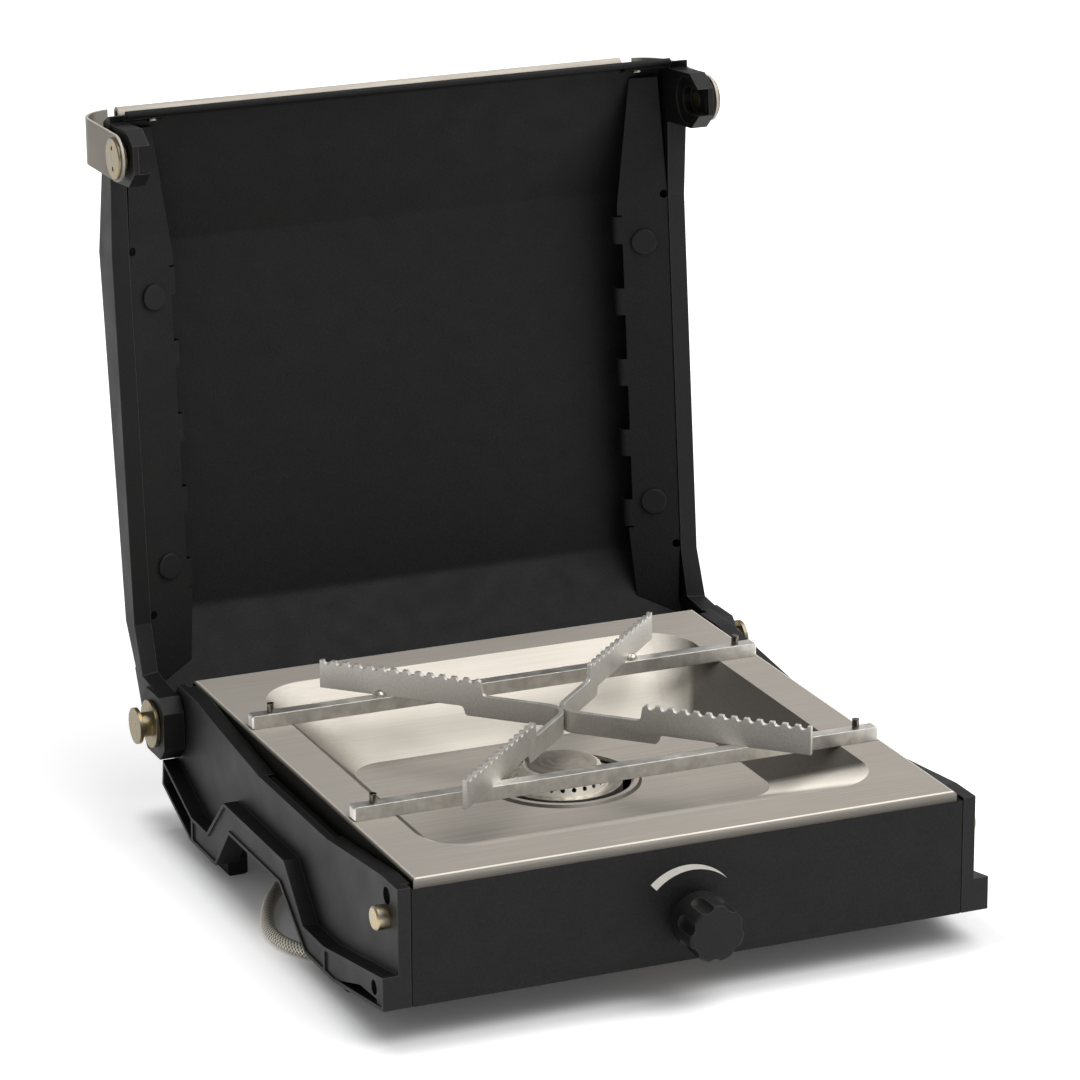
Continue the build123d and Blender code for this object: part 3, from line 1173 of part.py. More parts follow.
standing = {
    "front_panel": make_front_panel(),
    "rear_panel": make_rear_panel(),
    "base_pan": make_base_pan(),
    "right_end_frame": frame,
    "left_end_frame": mirrored(frame),
    "frame_screws": make_frame_screws(),
    "front_right_foot": front_foot,
    "front_left_foot": mirrored(front_foot),
    "rear_right_foot": rear_foot,
    "rear_left_foot": mirrored(rear_foot),
    "drip_tray": make_drip_tray(),
    "burner_bracket": make_burner_bracket(),
    "burner_bowl": make_burner_bowl(),
    "flame_ring": make_flame_ring(),
    "burner_cap": make_burner_cap(),
    "mixer_tube": make_mixer_tube(),
    "gas_jet": make_gas_jet(),
    "valve_body": make_valve_body(),
    "valve_nut": make_valve_nut(),
    "gas_inlet_elbow": make_gas_inlet_elbow(),
    "gas_hose": hose,
    "hose_inlet_ferrule": make_ferrule(hose_line, 0, 1),
    "hose_end_ferrule": make_ferrule(hose_line, 1, -1),
    "hose_end_nut": make_hose_nut(hose_line),
    "right_hinge_pin": pin,
    "left_hinge_pin": mirrored(pin),
    "right_latch_stud": stud,
    "left_latch_stud": mirrored(stud),
    "knob": make_knob(),
    "valve_stem": make_valve_stem(),
    "front_bar": make_bar(BAR_YS[0]),
    "rear_bar": make_bar(BAR_YS[1]),
    "right_strip": strip,
    "left_strip": mirrored(strip),
    "support_pins": make_support_pins(),
    "weld_beads": make_weld_beads(strip),
}

swinging = {
    "lid_panel": make_lid_panel(),
    "right_side_flange": flange,
    "left_side_flange": mirrored(flange),
    "right_lid_rail": lid_rail,
    "left_lid_rail": mirrored(lid_rail),
    "push_rivets": make_push_rivets(),
    "corner_rivets": make_corner_rivets(),
    "bail": make_bail(),
    "right_pivot_rivet": rivet,
    "left_pivot_rivet": mirrored(rivet),
    "right_latch_cam": cam,
    "left_latch_cam": mirrored(cam),
}

pieces = dict(standing)
for name, shape in swinging.items():
    pieces[name] = shape.rotate(HINGE_AXIS, -OPEN_ANGLE)

front_reach = pieces["knob"].bounding_box().min.Y
rear_reach = pieces["bail"].bounding_box().max.Y
ORIGIN_Y = (front_reach + rear_reach) / 2

os.makedirs("parts", exist_ok=True)
for name, shape in pieces.items():
    export_step(Pos(0, -ORIGIN_Y, 0) * shape, f"parts/{name}.step")

print("origin y", round(ORIGIN_Y, 3), "depth", round(rear_reach - front_reach, 2))
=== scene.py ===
import math

import bpy
from mathutils import Euler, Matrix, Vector


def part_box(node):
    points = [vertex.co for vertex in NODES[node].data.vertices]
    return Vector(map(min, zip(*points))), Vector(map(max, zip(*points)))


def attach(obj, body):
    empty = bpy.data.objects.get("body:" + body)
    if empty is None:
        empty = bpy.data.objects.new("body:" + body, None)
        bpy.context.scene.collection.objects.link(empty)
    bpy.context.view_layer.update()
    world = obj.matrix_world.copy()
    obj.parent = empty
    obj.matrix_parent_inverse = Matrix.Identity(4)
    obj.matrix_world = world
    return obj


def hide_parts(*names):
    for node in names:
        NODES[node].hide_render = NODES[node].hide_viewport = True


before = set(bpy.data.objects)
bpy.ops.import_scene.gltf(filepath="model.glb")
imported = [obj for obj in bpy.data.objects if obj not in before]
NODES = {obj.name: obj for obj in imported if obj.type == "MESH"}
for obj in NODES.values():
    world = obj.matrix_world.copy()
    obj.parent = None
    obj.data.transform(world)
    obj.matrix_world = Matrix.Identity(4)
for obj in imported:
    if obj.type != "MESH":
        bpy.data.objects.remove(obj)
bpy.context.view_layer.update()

# Single burner gas stove: finishes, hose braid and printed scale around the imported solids.
# Metres, in the solids' own frame. Sizes with _MM in their names are millimetres.
MM = 0.001
FRONT_FACE_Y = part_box("front_panel")[0].y

# Camera: the photograph's view, fitted to the straight edges of the panel, tray and end frames
CAMERA_PLACE = (-0.9584, -2.2382, 0.9579)
CAMERA_TURN_DEG = (72.12, 0.235, -23.322)
LENS_MM = 170.35
SENSOR_MM = 36.0

# Gas hose: its route's points, as x from the stove's middle, y back from the front panel's face, z from the
# ground
HOSE_ROUTE_MM = [
    (0, 37, 19), (0, 63, 19), (-11, 88, 14), (-36, 102, 7), (-70, 102, 3.6), (-109, 92, 3.6),
    (-146, 104, 3.6), (-164, 136, 3.6), (-153, 175, 3.6), (-129, 211, 3.6), (-98, 244, 3.6),
    (-52, 266, 3.6), (2, 274, 3.6), (56, 263, 3.6), (98, 230, 3.6), (116, 178, 3.6),
    (120, 140, 5), (120, 112, 8.5), (120, 84, 8.5),
]
ROUTE_ORDER = 3
ROUTE_RESOLUTION = 24
HOSE_DIAMETER_MM = 7.0
# A real braid has 12 strands or more each way; 8 are drawn, so that they show at the picture's size
BRAID_STRANDS_EACH_WAY = 8
BRAID_LAY_MM = 16.0
BRAID_DEPTH_MM = 0.6
BRAID_SIDES = 48
BRAID_STEP_MM = 0.42
# Shares of the braid's depth: a strand's rounding, its swing over and under the other set, its mean level
STRAND_CROWN = 0.55
STRAND_SWING = 0.3
STRAND_LEVEL = 0.15

# Flow scale: a printed arc about a point beside the knob's axis, thick at one end and drawn to a point
SCALE_RADIUS_MM = 27.5
SCALE_THICKNESS_MM = 4.5
SCALE_START_DEG = 133.0
SCALE_END_DEG = 40.0
SCALE_CENTRE_MM = (-3.3, -1.7)
SCALE_TAPER = 1.55
SCALE_STEPS = 64
INK_MM = 0.05

# Grains and lines of the finishes. On real ones they are finer than here, mostly by three times or more: a
# sandy coat's or a mould's grain, the lines that a belt or a lathe leaves, the wires of a braid. They are
# drawn coarser, so that they show at the picture's size.
COAT_GRAIN_MM = 0.9
NYLON_GRAIN_MM = 0.7
STREAK_WIDTH_MM = 0.55
STREAK_LENGTH_MM = 70.0
BAIL_STREAK_LENGTH_MM = 40.0
CAP_RING_MM = 4.4
PRESSED_RING_MM = 5.65
WIRE_GRAIN_MM = 0.35


def add(tree, kind, inputs=None, **settings):
    """Adds a node: inputs gives each socket, by name or number, a value or a link."""
    made = tree.nodes.new(kind)
    for name, value in settings.items():
        setattr(made, name, value)
    for socket, value in (inputs or {}).items():
        if isinstance(value, bpy.types.NodeSocket):
            tree.links.new(value, made.inputs[socket])
        else:
            made.inputs[socket].default_value = value
    return made


def linear(hex_colour):
    """An sRGB hex colour as linear RGBA."""
    channels = [int(hex_colour[i:i + 2], 16) / 255 for i in (1, 3, 5)]
    lit = [c / 12.92 if c <= 0.04045 else ((c + 0.055) / 1.055) ** 2.4 for c in channels]
    return tuple(lit) + (1.0,)


def per_mm(size_mm):
    """The texture scale at which one grain, patch or streak of a pattern has this size."""
    return 1 / (size_mm * MM)


def mesh_piece(name, points, faces, body, material):
    """A new piece at the origin with its place in its mesh, riding on a body."""
    mesh = bpy.data.meshes.new(name)
    mesh.from_pydata(points, [], faces)
    mesh.materials.append(material)
    piece = bpy.data.objects.new(name, mesh)
    bpy.context.scene.collection.objects.link(piece)
    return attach(piece, body)


# Camera

def make_camera():
    data = bpy.data.cameras.new("camera")
    data.lens = LENS_MM
    data.sensor_width = SENSOR_MM
    camera = bpy.data.objects.new("camera", data)
    camera.location = CAMERA_PLACE
    camera.rotation_euler = Euler([math.radians(a) for a in CAMERA_TURN_DEG])
    bpy.context.scene.collection.objects.link(camera)
    bpy.context.scene.camera = camera


# Materials

# A Mix node's colour sockets share their names with its number sockets, so they are counted
MIX_A, MIX_B, MIX_COLOUR = 6, 7, 2


def start_material(name):
    """A node material with its shader and the piece's own coordinates."""
    material = bpy.data.materials.new(name)
    material.use_nodes = True
    tree = material.node_tree
    place = add(tree, "ShaderNodeTexCoord").outputs["Object"]
    return material, tree, tree.nodes["Principled BSDF"], place


def finish_surface(tree, shader, colours, tone, roughness, rough_tone, relief, relief_mm, edge_mm):
    """Mixes two colours by tone, sets roughness between two values by rough_tone, and adds relief.
    The edges are rounded by edge_mm in the shading, as every real edge is."""
    mixed = add(tree, "ShaderNodeMix", {0: tone, MIX_A: linear(colours[0]), MIX_B: linear(colours[1])},
                data_type="RGBA")
    tree.links.new(mixed.outputs[MIX_COLOUR], shader.inputs["Base Color"])
    rough = add(tree, "ShaderNodeMapRange",
                {"Value": rough_tone, "To Min": roughness[0], "To Max": roughness[1]})
    tree.links.new(rough.outputs["Result"], shader.inputs["Roughness"])
    edge = add(tree, "ShaderNodeBevel", {"Radius": edge_mm * MM}, samples=6)
    bump = add(tree, "ShaderNodeBump", {"Strength": 1.0, "Distance": relief_mm * MM, "Height": relief,
                                        "Normal": edge.outputs["Normal"]})
    tree.links.new(bump.outputs["Normal"], shader.inputs["Normal"])
    return mixed


def grain(tree, place, size_mm, contrast, detail=2.0):
    """Noise of one grain size, as (raw value, value stretched to 0..1 by its contrast)."""
    noise = add(tree, "ShaderNodeTexNoise", {"Vector": place, "Scale": per_mm(size_mm), "Detail": detail})
    tone = add(tree, "ShaderNodeMapRange",
               {"Value": noise.outputs["Fac"], "From Min": 0.5 - contrast, "From Max": 0.5 + contrast})
    return noise.outputs["Fac"], tone.outputs["Result"]


def brushed_along_x(tree, place, length_mm, width_mm, contrast):
    """Streaks drawn out along X, as a belt leaves them, stretched to 0..1 by their contrast."""
    scale = (per_mm(length_mm), per_mm(width_mm), per_mm(width_mm))
    drawn = add(tree, "ShaderNodeMapping", {"Vector": place, "Scale": scale})
    noise = add(tree, "ShaderNodeTexNoise", {"Vector": drawn.outputs["Vector"], "Scale": 1.0, "Detail": 3.0})
    tone = add(tree, "ShaderNodeMapRange",
               {"Value": noise.outputs["Fac"], "From Min": 0.5 - contrast, "From Max": 0.5 + contrast})
    return tone.outputs["Result"]


COAT_SHEEN = 0.2


def powder_coat(name, colours, roughness):
    """Polyester powder coat on steel, sprayed and oven-cured: near black and matt, with a fine sandy
    grain that breaks every reflection into soft speckle."""
    material, tree, shader, place = start_material(name)
    raw, tone = grain(tree, place, COAT_GRAIN_MM, contrast=0.22, detail=3.0)
    _, wide = grain(tree, place, size_mm=14.0, contrast=0.3)
    finish_surface(tree, shader, colours, tone, roughness, wide, raw, relief_mm=0.16, edge_mm=0.5)
    shader.inputs["Specular IOR Level"].default_value = COAT_SHEEN
    return material


NYLON_SHEEN = 0.25
# Painted edge highlight, a lighter colour along the edges for the light their rounding catches: how far it
# reaches, the cosine of the edge's turn at which it starts and is full, and its strength
EDGE_HIGHLIGHT_MM = 0.7
EDGE_HIGHLIGHT_START, EDGE_HIGHLIGHT_FULL = 0.995, 0.8
EDGE_HIGHLIGHT_STRENGTH = 0.8
EDGE_HIGHLIGHT_COLOUR = "#56534e"


def moulded_nylon(name, colours, roughness):
    """Glass-filled nylon, injection moulded in a spark-eroded tool: charcoal black with a fine even
    grain, and a painted highlight that makes the edges a shade lighter."""
    material, tree, shader, place = start_material(name)
    raw, tone = grain(tree, place, NYLON_GRAIN_MM, contrast=0.2)
    _, wide = grain(tree, place, size_mm=22.0, contrast=0.3)
    mixed = finish_surface(tree, shader, colours, tone, roughness, wide, raw, relief_mm=0.12, edge_mm=0.45)
    # A painted highlight: the colour turns lighter along the edges
    round_edge = add(tree, "ShaderNodeBevel", {"Radius": EDGE_HIGHLIGHT_MM * MM}, samples=4)
    face = add(tree, "ShaderNodeNewGeometry")
    turn = add(tree, "ShaderNodeVectorMath",
               {0: round_edge.outputs["Normal"], 1: face.outputs["Normal"]}, operation="DOT_PRODUCT")
    edge_highlight = add(tree, "ShaderNodeMapRange", {"Value": turn.outputs["Value"], "From Min": EDGE_HIGHLIGHT_START,
                                            "From Max": EDGE_HIGHLIGHT_FULL, "To Max": EDGE_HIGHLIGHT_STRENGTH})
    highlighted = add(tree, "ShaderNodeMix", {0: edge_highlight.outputs["Result"], MIX_A: mixed.outputs[MIX_COLOUR],
                                        MIX_B: linear(EDGE_HIGHLIGHT_COLOUR)}, data_type="RGBA")
    tree.links.new(highlighted.outputs[MIX_COLOUR], shader.inputs["Base Color"])
    shader.inputs["Specular IOR Level"].default_value = NYLON_SHEEN
    return material


# The streaks' direction, tilted a little so that no face lies square to it
BRUSHED_ALONG_X = (1.0, 0.02, 0.03)
STREAK_SPREAD = 0.9


def brushed_steel(name, colours, roughness, length_mm):
    """Stainless sheet, belt-brushed along X: warm grey, with fine streaks that spread reflections
    across them."""
    material, tree, shader, place = start_material(name)
    streaks = brushed_along_x(tree, place, length_mm, STREAK_WIDTH_MM, contrast=0.3)
    _, cloud = grain(tree, place, size_mm=45.0, contrast=0.25)
    finish_surface(tree, shader, colours, streaks, roughness, cloud, streaks, relief_mm=0.006, edge_mm=0.4)
    face = add(tree, "ShaderNodeNewGeometry").outputs["Normal"]
    across = add(tree, "ShaderNodeVectorMath", {0: face, 1: BRUSHED_ALONG_X}, operation="CROSS_PRODUCT")
    tree.links.new(across.outputs["Vector"], shader.inputs["Tangent"])
    shader.inputs["Anisotropic"].default_value = STREAK_SPREAD
    shader.inputs["Metallic"].default_value = 1.0
    return material


# The recess's long slopes, which take a painted highlight: those at the rear and left face forwards and
# to the right, and that at the right faces left
HIGHLIT_SLOPES_FACE = (0.9, -1.0, 0.0)
RIGHT_SLOPE_FACES = (-0.8, 0.0, 0.0)
# Shares of a face's normal at which the slopes' painted highlight, the upward faces and the side skirts'
# painted shade start and are full
SLOPE_START, SLOPE_FULL = 0.04, 0.17
UPWARD_START, UPWARD_FULL = 0.75, 0.85
SKIRT_START, SKIRT_FULL = 0.8, 0.95
# The colour of the painted shade on the side skirts, which stand in the dark gap beside the end frames
SKIRT_SHADE_COLOUR = "#171614"


def drawn_tray(name, colours, slope_highlight_colours, roughness):
    """Brushed stainless sheet, deep drawn: the recess's long slopes are painted paler, a painted highlight
    for the light they catch, and the skirts at the sides are painted near black, a painted shade."""
    material = brushed_steel(name, colours, roughness, STREAK_LENGTH_MM)
    tree = material.node_tree
    shader = tree.nodes["Principled BSDF"]
    flat = shader.inputs["Base Color"].links[0].from_node
    streaks = flat.inputs[0].links[0].from_socket
    face = add(tree, "ShaderNodeNewGeometry").outputs["Normal"]
    facing = add(tree, "ShaderNodeSeparateXYZ", {"Vector": face}).outputs
    # A painted highlight: slopes that face these ways take the paler colours
    rear_left = add(tree, "ShaderNodeVectorMath", {0: face, 1: HIGHLIT_SLOPES_FACE}, operation="DOT_PRODUCT")
    right = add(tree, "ShaderNodeVectorMath", {0: face, 1: RIGHT_SLOPE_FACES}, operation="DOT_PRODUCT")
    slope = add(tree, "ShaderNodeMath", {0: rear_left.outputs["Value"], 1: right.outputs["Value"]},
                operation="MAXIMUM")
    drawn = add(tree, "ShaderNodeMapRange", {"Value": slope.outputs["Value"], "From Min": SLOPE_START,
                                             "From Max": SLOPE_FULL}, interpolation_type="SMOOTHSTEP")
    upward = add(tree, "ShaderNodeMapRange", {"Value": facing["Z"], "From Min": UPWARD_START,
                                              "From Max": UPWARD_FULL})
    drawn = add(tree, "ShaderNodeMath", {0: drawn.outputs["Result"], 1: upward.outputs["Result"]},
                operation="MULTIPLY")
    slope_highlight = add(tree, "ShaderNodeMix", {0: streaks, MIX_A: linear(slope_highlight_colours[0]),
                                       MIX_B: linear(slope_highlight_colours[1])}, data_type="RGBA")
    both = add(tree, "ShaderNodeMix", {0: drawn.outputs["Value"], MIX_A: flat.outputs[MIX_COLOUR],
                                       MIX_B: slope_highlight.outputs[MIX_COLOUR]}, data_type="RGBA")
    # A painted shade: faces turned sideways, the side skirts, become near black
    sideways = add(tree, "ShaderNodeMath", {0: facing["X"]}, operation="ABSOLUTE")
    skirt = add(tree, "ShaderNodeMapRange", {"Value": sideways.outputs["Value"], "From Min": SKIRT_START,
                                             "From Max": SKIRT_FULL})
    skirt_shaded = add(tree, "ShaderNodeMix", {0: skirt.outputs["Result"], MIX_A: both.outputs[MIX_COLOUR],
                                        MIX_B: linear(SKIRT_SHADE_COLOUR)}, data_type="RGBA")
    tree.links.new(skirt_shaded.outputs[MIX_COLOUR], shader.inputs["Base Color"])
    return material


def mottled_steel(name, colours, roughness, grain_mm, relief_mm):
    """Bare steel as it is tumbled, drawn, welded or set: warm grey, mottled lighter and darker."""
    material, tree, shader, place = start_material(name)
    raw, fine = grain(tree, place, grain_mm, contrast=0.25, detail=4.0)
    _, cloud = grain(tree, place, size_mm=9.0, contrast=0.25)
    finish_surface(tree, shader, colours, fine, roughness, cloud, raw, relief_mm, edge_mm=0.5)
    shader.inputs["Metallic"].default_value = 1.0
    return material


# A wave texture at scale 1 goes through this many radians in a metre
WAVE_RADIANS = 20.0


def turned_steel(name, colours, roughness, centre, ring_mm):
    """Steel pressed and polished on a lathe: rings round one upright axis catch the light."""
    material, tree, shader, place = start_material(name)
    about = add(tree, "ShaderNodeMapping", {"Vector": place, "Location": centre}, vector_type="TEXTURE")
    rings = add(tree, "ShaderNodeTexWave",
                {"Vector": about.outputs["Vector"], "Scale": 2 * math.pi * per_mm(ring_mm) / WAVE_RADIANS,
                 "Distortion": 1.5, "Detail": 2.0, "Detail Scale": 2.0},
                wave_type="RINGS", rings_direction="Z").outputs["Fac"]
    _, cloud = grain(tree, place, size_mm=7.0, contrast=0.25, detail=3.0)
    finish_surface(tree, shader, colours, cloud, roughness, rings, rings, relief_mm=0.01, edge_mm=0.3)
    shader.inputs["Metallic"].default_value = 1.0
    return material


def yellow_zinc(name, colours):
    """Steel turned and zinc plated with a yellow passivate: silver grey with gold in patches, where
    the passivate is thick."""
    material, tree, shader, place = start_material(name)
    raw, patch = grain(tree, place, size_mm=2.5, contrast=0.13, detail=4.0)
    _, fine = grain(tree, place, size_mm=0.8, contrast=0.25)
    finish_surface(tree, shader, colours, patch, (0.26, 0.42), fine, raw, relief_mm=0.03, edge_mm=0.35)
    shader.inputs["Metallic"].default_value = 1.0
    return material


def zinc_plate(name, colours):
    """Steel pressing, bright zinc plated: cool grey with a faint spangle."""
    material, tree, shader, place = start_material(name)
    raw, spangle = grain(tree, place, size_mm=3.0, contrast=0.2, detail=3.0)
    finish_surface(tree, shader, colours, spangle, (0.28, 0.45), spangle, raw, relief_mm=0.02, edge_mm=0.3)
    shader.inputs["Metallic"].default_value = 1.0
    return material


def turned_brass(name, colours):
    """Free-cutting brass, turned and milled: warm yellow, dulled in patches."""
    material, tree, shader, place = start_material(name)
    raw, patch = grain(tree, place, size_mm=4.0, contrast=0.2, detail=4.0)
    finish_surface(tree, shader, colours, patch, (0.25, 0.42), patch, raw, relief_mm=0.02, edge_mm=0.4)
    shader.inputs["Metallic"].default_value = 1.0
    return material


RUBBER_SHEEN = 0.3


def moulded_rubber(name, colours):
    """Nitrile rubber, moulded: dull black with a faint bloom."""
    material, tree, shader, place = start_material(name)
    raw, bloom = grain(tree, place, size_mm=2.5, contrast=0.25, detail=4.0)
    finish_surface(tree, shader, colours, bloom, (0.75, 0.9), bloom, raw, relief_mm=0.1, edge_mm=0.8)
    shader.inputs["Specular IOR Level"].default_value = RUBBER_SHEEN
    return material


# Heights of the weave, as shares of its depth, where the dark gaps end and the bright wire is full. The wire
# is half metal in the shading, because many thin round wires scatter light as a duller surface does.
GAP_TOP, WIRE_FULL = 0.54, 0.72
WIRE_METAL = 0.5


def braid_wire(name, colours):
    """Stainless wire braid over black rubber: warm grey crowns, black in the gaps between strands."""
    material, tree, shader, place = start_material(name)
    weave = add(tree, "ShaderNodeAttribute", attribute_name="weave").outputs["Fac"]
    crown = add(tree, "ShaderNodeMapRange",
                {"Value": weave, "From Min": GAP_TOP, "From Max": WIRE_FULL}).outputs["Result"]
    raw, _ = grain(tree, place, WIRE_GRAIN_MM, contrast=0.25)
    finish_surface(tree, shader, colours, crown, (0.4, 0.55), raw, raw, relief_mm=0.03, edge_mm=0.05)
    metal = add(tree, "ShaderNodeMapRange", {"Value": crown, "To Max": WIRE_METAL})
    tree.links.new(metal.outputs["Result"], shader.inputs["Metallic"])
    return material


def printed_ink(name, colours):
    """Screen-printed epoxy ink: warm white, a little uneven where the coat's grain shows through."""
    material, tree, shader, place = start_material(name)
    raw, tone = grain(tree, place, COAT_GRAIN_MM, contrast=0.3, detail=3.0)
    finish_surface(tree, shader, colours, tone, (0.5, 0.65), tone, raw, relief_mm=0.06, edge_mm=0.05)
    return material


# Gas hose: a tube on the route's spline, raised where strands of its braid cross over

def hose_route():
    """The route as a mesh line, and the points of that line."""
    data = bpy.data.curves.new("hose_route", "CURVE")
    data.dimensions = "3D"
    data.resolution_u = ROUTE_RESOLUTION
    spline = data.splines.new("NURBS")
    spline.points.add(len(HOSE_ROUTE_MM) - 1)
    for point, (x, y, z) in zip(spline.points, HOSE_ROUTE_MM):
        point.co = (x * MM, FRONT_FACE_Y + y * MM, z * MM, 1.0)
    spline.order_u = ROUTE_ORDER
    spline.use_endpoint_u = True
    route = bpy.data.objects.new("hose_route", data)
    bpy.context.scene.collection.objects.link(route)
    bpy.context.view_layer.update()
    line = bpy.data.meshes.new_from_object(route.evaluated_get(bpy.context.evaluated_depsgraph_get()))
    bpy.data.objects.remove(route)
    return line, [tuple(v.co) for v in line.vertices]


def braid_tree():
    """Geometry nodes that turn a line into a braided tube, with the weave's height as an attribute."""
    tree = bpy.data.node_groups.new("hose_braid", "GeometryNodeTree")
    sockets = (("Line", "Geometry"), ("Radius", "Float"), ("Depth", "Float"), ("Lay", "Float"),
               ("Strands", "Float"), ("Sides", "Int"), ("Step", "Float"), ("Wire", "Material"))
    for name, kind in sockets:
        tree.interface.new_socket(name, in_out="INPUT", socket_type="NodeSocket" + kind)
    tree.interface.new_socket("Braid", in_out="OUTPUT", socket_type="NodeSocketGeometry")
    given = add(tree, "NodeGroupInput").outputs

    # A tube whose skin is the floor of the gaps between strands, and each point's place along and around it
    line = add(tree, "GeometryNodeMeshToCurve", {"Mesh": given["Line"]})
    even = add(tree, "GeometryNodeResampleCurve",
               {"Curve": line.outputs["Curve"], "Length": given["Step"]}, mode="LENGTH")
    along = add(tree, "GeometryNodeCaptureAttribute", {"Geometry": even.outputs["Curve"]})
    along.capture_items.new("FLOAT", "Along")
    tree.links.new(add(tree, "GeometryNodeSplineParameter").outputs["Length"], along.inputs["Along"])
    radius = add(tree, "ShaderNodeMath", {0: given["Radius"], 1: given["Depth"]}, operation="SUBTRACT")
    section = add(tree, "GeometryNodeCurvePrimitiveCircle",
                  {"Resolution": given["Sides"], "Radius": radius.outputs["Value"]})
    around = add(tree, "GeometryNodeCaptureAttribute", {"Geometry": section.outputs["Curve"]})
    around.capture_items.new("FLOAT", "Around")
    point = add(tree, "GeometryNodeInputIndex")
    share = add(tree, "ShaderNodeMath", {0: point.outputs["Index"], 1: given["Sides"]}, operation="DIVIDE")
    tree.links.new(share.outputs["Value"], around.inputs["Around"])
    tube = add(tree, "GeometryNodeCurveToMesh",
               {"Curve": along.outputs["Geometry"], "Profile Curve": around.outputs["Geometry"],
                "Fill Caps": True})

    # Two sets of strands wind opposite ways: each is counted round the hose, a whole number at each gap
    turns = add(tree, "ShaderNodeMath", {0: along.outputs["Along"], 1: given["Lay"]}, operation="DIVIDE")
    counts = []
    for winding in ("ADD", "SUBTRACT"):
        wound = add(tree, "ShaderNodeMath", {0: around.outputs["Around"], 1: turns.outputs["Value"]},
                    operation=winding)
        count = add(tree, "ShaderNodeMath", {0: wound.outputs["Value"], 1: given["Strands"]},
                    operation="MULTIPLY")
        counts.append(count.outputs["Value"])
    right_hand, left_hand = counts

    def strand(own, other, over):
        """Height of one set of strands: round across its width, over and under the other set along it."""
        across = add(tree, "ShaderNodeMath", {0: own}, operation="FRACT")
        across = add(tree, "ShaderNodeMath", {0: across.outputs["Value"], 1: math.pi}, operation="MULTIPLY")
        crown = add(tree, "ShaderNodeMath", {0: across.outputs["Value"]}, operation="SINE")
        number = add(tree, "ShaderNodeMath", {0: own}, operation="FLOOR")
        phase = add(tree, "ShaderNodeMath", {0: other, 1: 0.5}, operation="SUBTRACT")
        phase = add(tree, "ShaderNodeMath", {0: phase.outputs["Value"], 1: number.outputs["Value"]},
                    operation="ADD")
        phase = add(tree, "ShaderNodeMath", {0: phase.outputs["Value"], 1: math.pi}, operation="MULTIPLY")
        wave = add(tree, "ShaderNodeMath", {0: phase.outputs["Value"]}, operation="COSINE")
        level = add(tree, "ShaderNodeMath",
                    {0: wave.outputs["Value"], 1: STRAND_SWING * over, 2: STRAND_LEVEL},
                    operation="MULTIPLY_ADD")
        height = add(tree, "ShaderNodeMath",
                     {0: crown.outputs["Value"], 1: STRAND_CROWN, 2: level.outputs["Value"]},
                     operation="MULTIPLY_ADD")
        return height.outputs["Value"]

    weave = add(tree, "ShaderNodeMath", {0: strand(right_hand, left_hand, 1),
                                         1: strand(left_hand, right_hand, -1)}, operation="MAXIMUM")
    lift = add(tree, "ShaderNodeMath", {0: weave.outputs["Value"], 1: given["Depth"]}, operation="MULTIPLY")
    normal = add(tree, "GeometryNodeInputNormal")
    raised = add(tree, "ShaderNodeVectorMath",
                 {0: normal.outputs["Normal"], "Scale": lift.outputs["Value"]}, operation="SCALE")
    stored = add(tree, "GeometryNodeStoreNamedAttribute",
                 {"Geometry": tube.outputs["Mesh"], "Name": "weave", "Value": weave.outputs["Value"]},
                 data_type="FLOAT", domain="POINT")
    woven = add(tree, "GeometryNodeSetPosition",
                {"Geometry": stored.outputs["Geometry"], "Offset": raised.outputs["Vector"]})
    smooth = add(tree, "GeometryNodeSetShadeSmooth", {"Geometry": woven.outputs["Geometry"]})
    real = add(tree, "GeometryNodeRealizeInstances", {"Geometry": smooth.outputs["Geometry"]})
    coated = add(tree, "GeometryNodeSetMaterial",
                 {"Geometry": real.outputs["Geometry"], "Material": given["Wire"]})
    add(tree, "NodeGroupOutput", {"Braid": coated.outputs["Geometry"]})
    return tree


def make_hose():
    line, path = hose_route()
    hose = bpy.data.objects.new("gas_hose_braid", line)
    bpy.context.scene.collection.objects.link(hose)
    tree = braid_tree()
    modifier = hose.modifiers.new("braid", "NODES")
    modifier.node_group = tree
    values = {
        "Radius": HOSE_DIAMETER_MM / 2 * MM,
        "Depth": BRAID_DEPTH_MM * MM,
        "Lay": BRAID_LAY_MM * MM,
        "Strands": float(BRAID_STRANDS_EACH_WAY),
        "Sides": BRAID_SIDES,
        "Step": BRAID_STEP_MM * MM,
        "Wire": braid_wire("stainless_wire_braided", ("#060606", "#efe8da")),
    }
    for socket in tree.interface.items_tree:
        if socket.name in values:
            modifier[socket.identifier] = values[socket.name]
    bpy.context.view_layer.update()
    woven = bpy.data.meshes.new_from_object(hose.evaluated_get(bpy.context.evaluated_depsgraph_get()))
    hose.modifiers.clear()
    hose.data = woven
    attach(hose, "base")
    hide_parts("gas_hose")


# Flow scale on the front panel

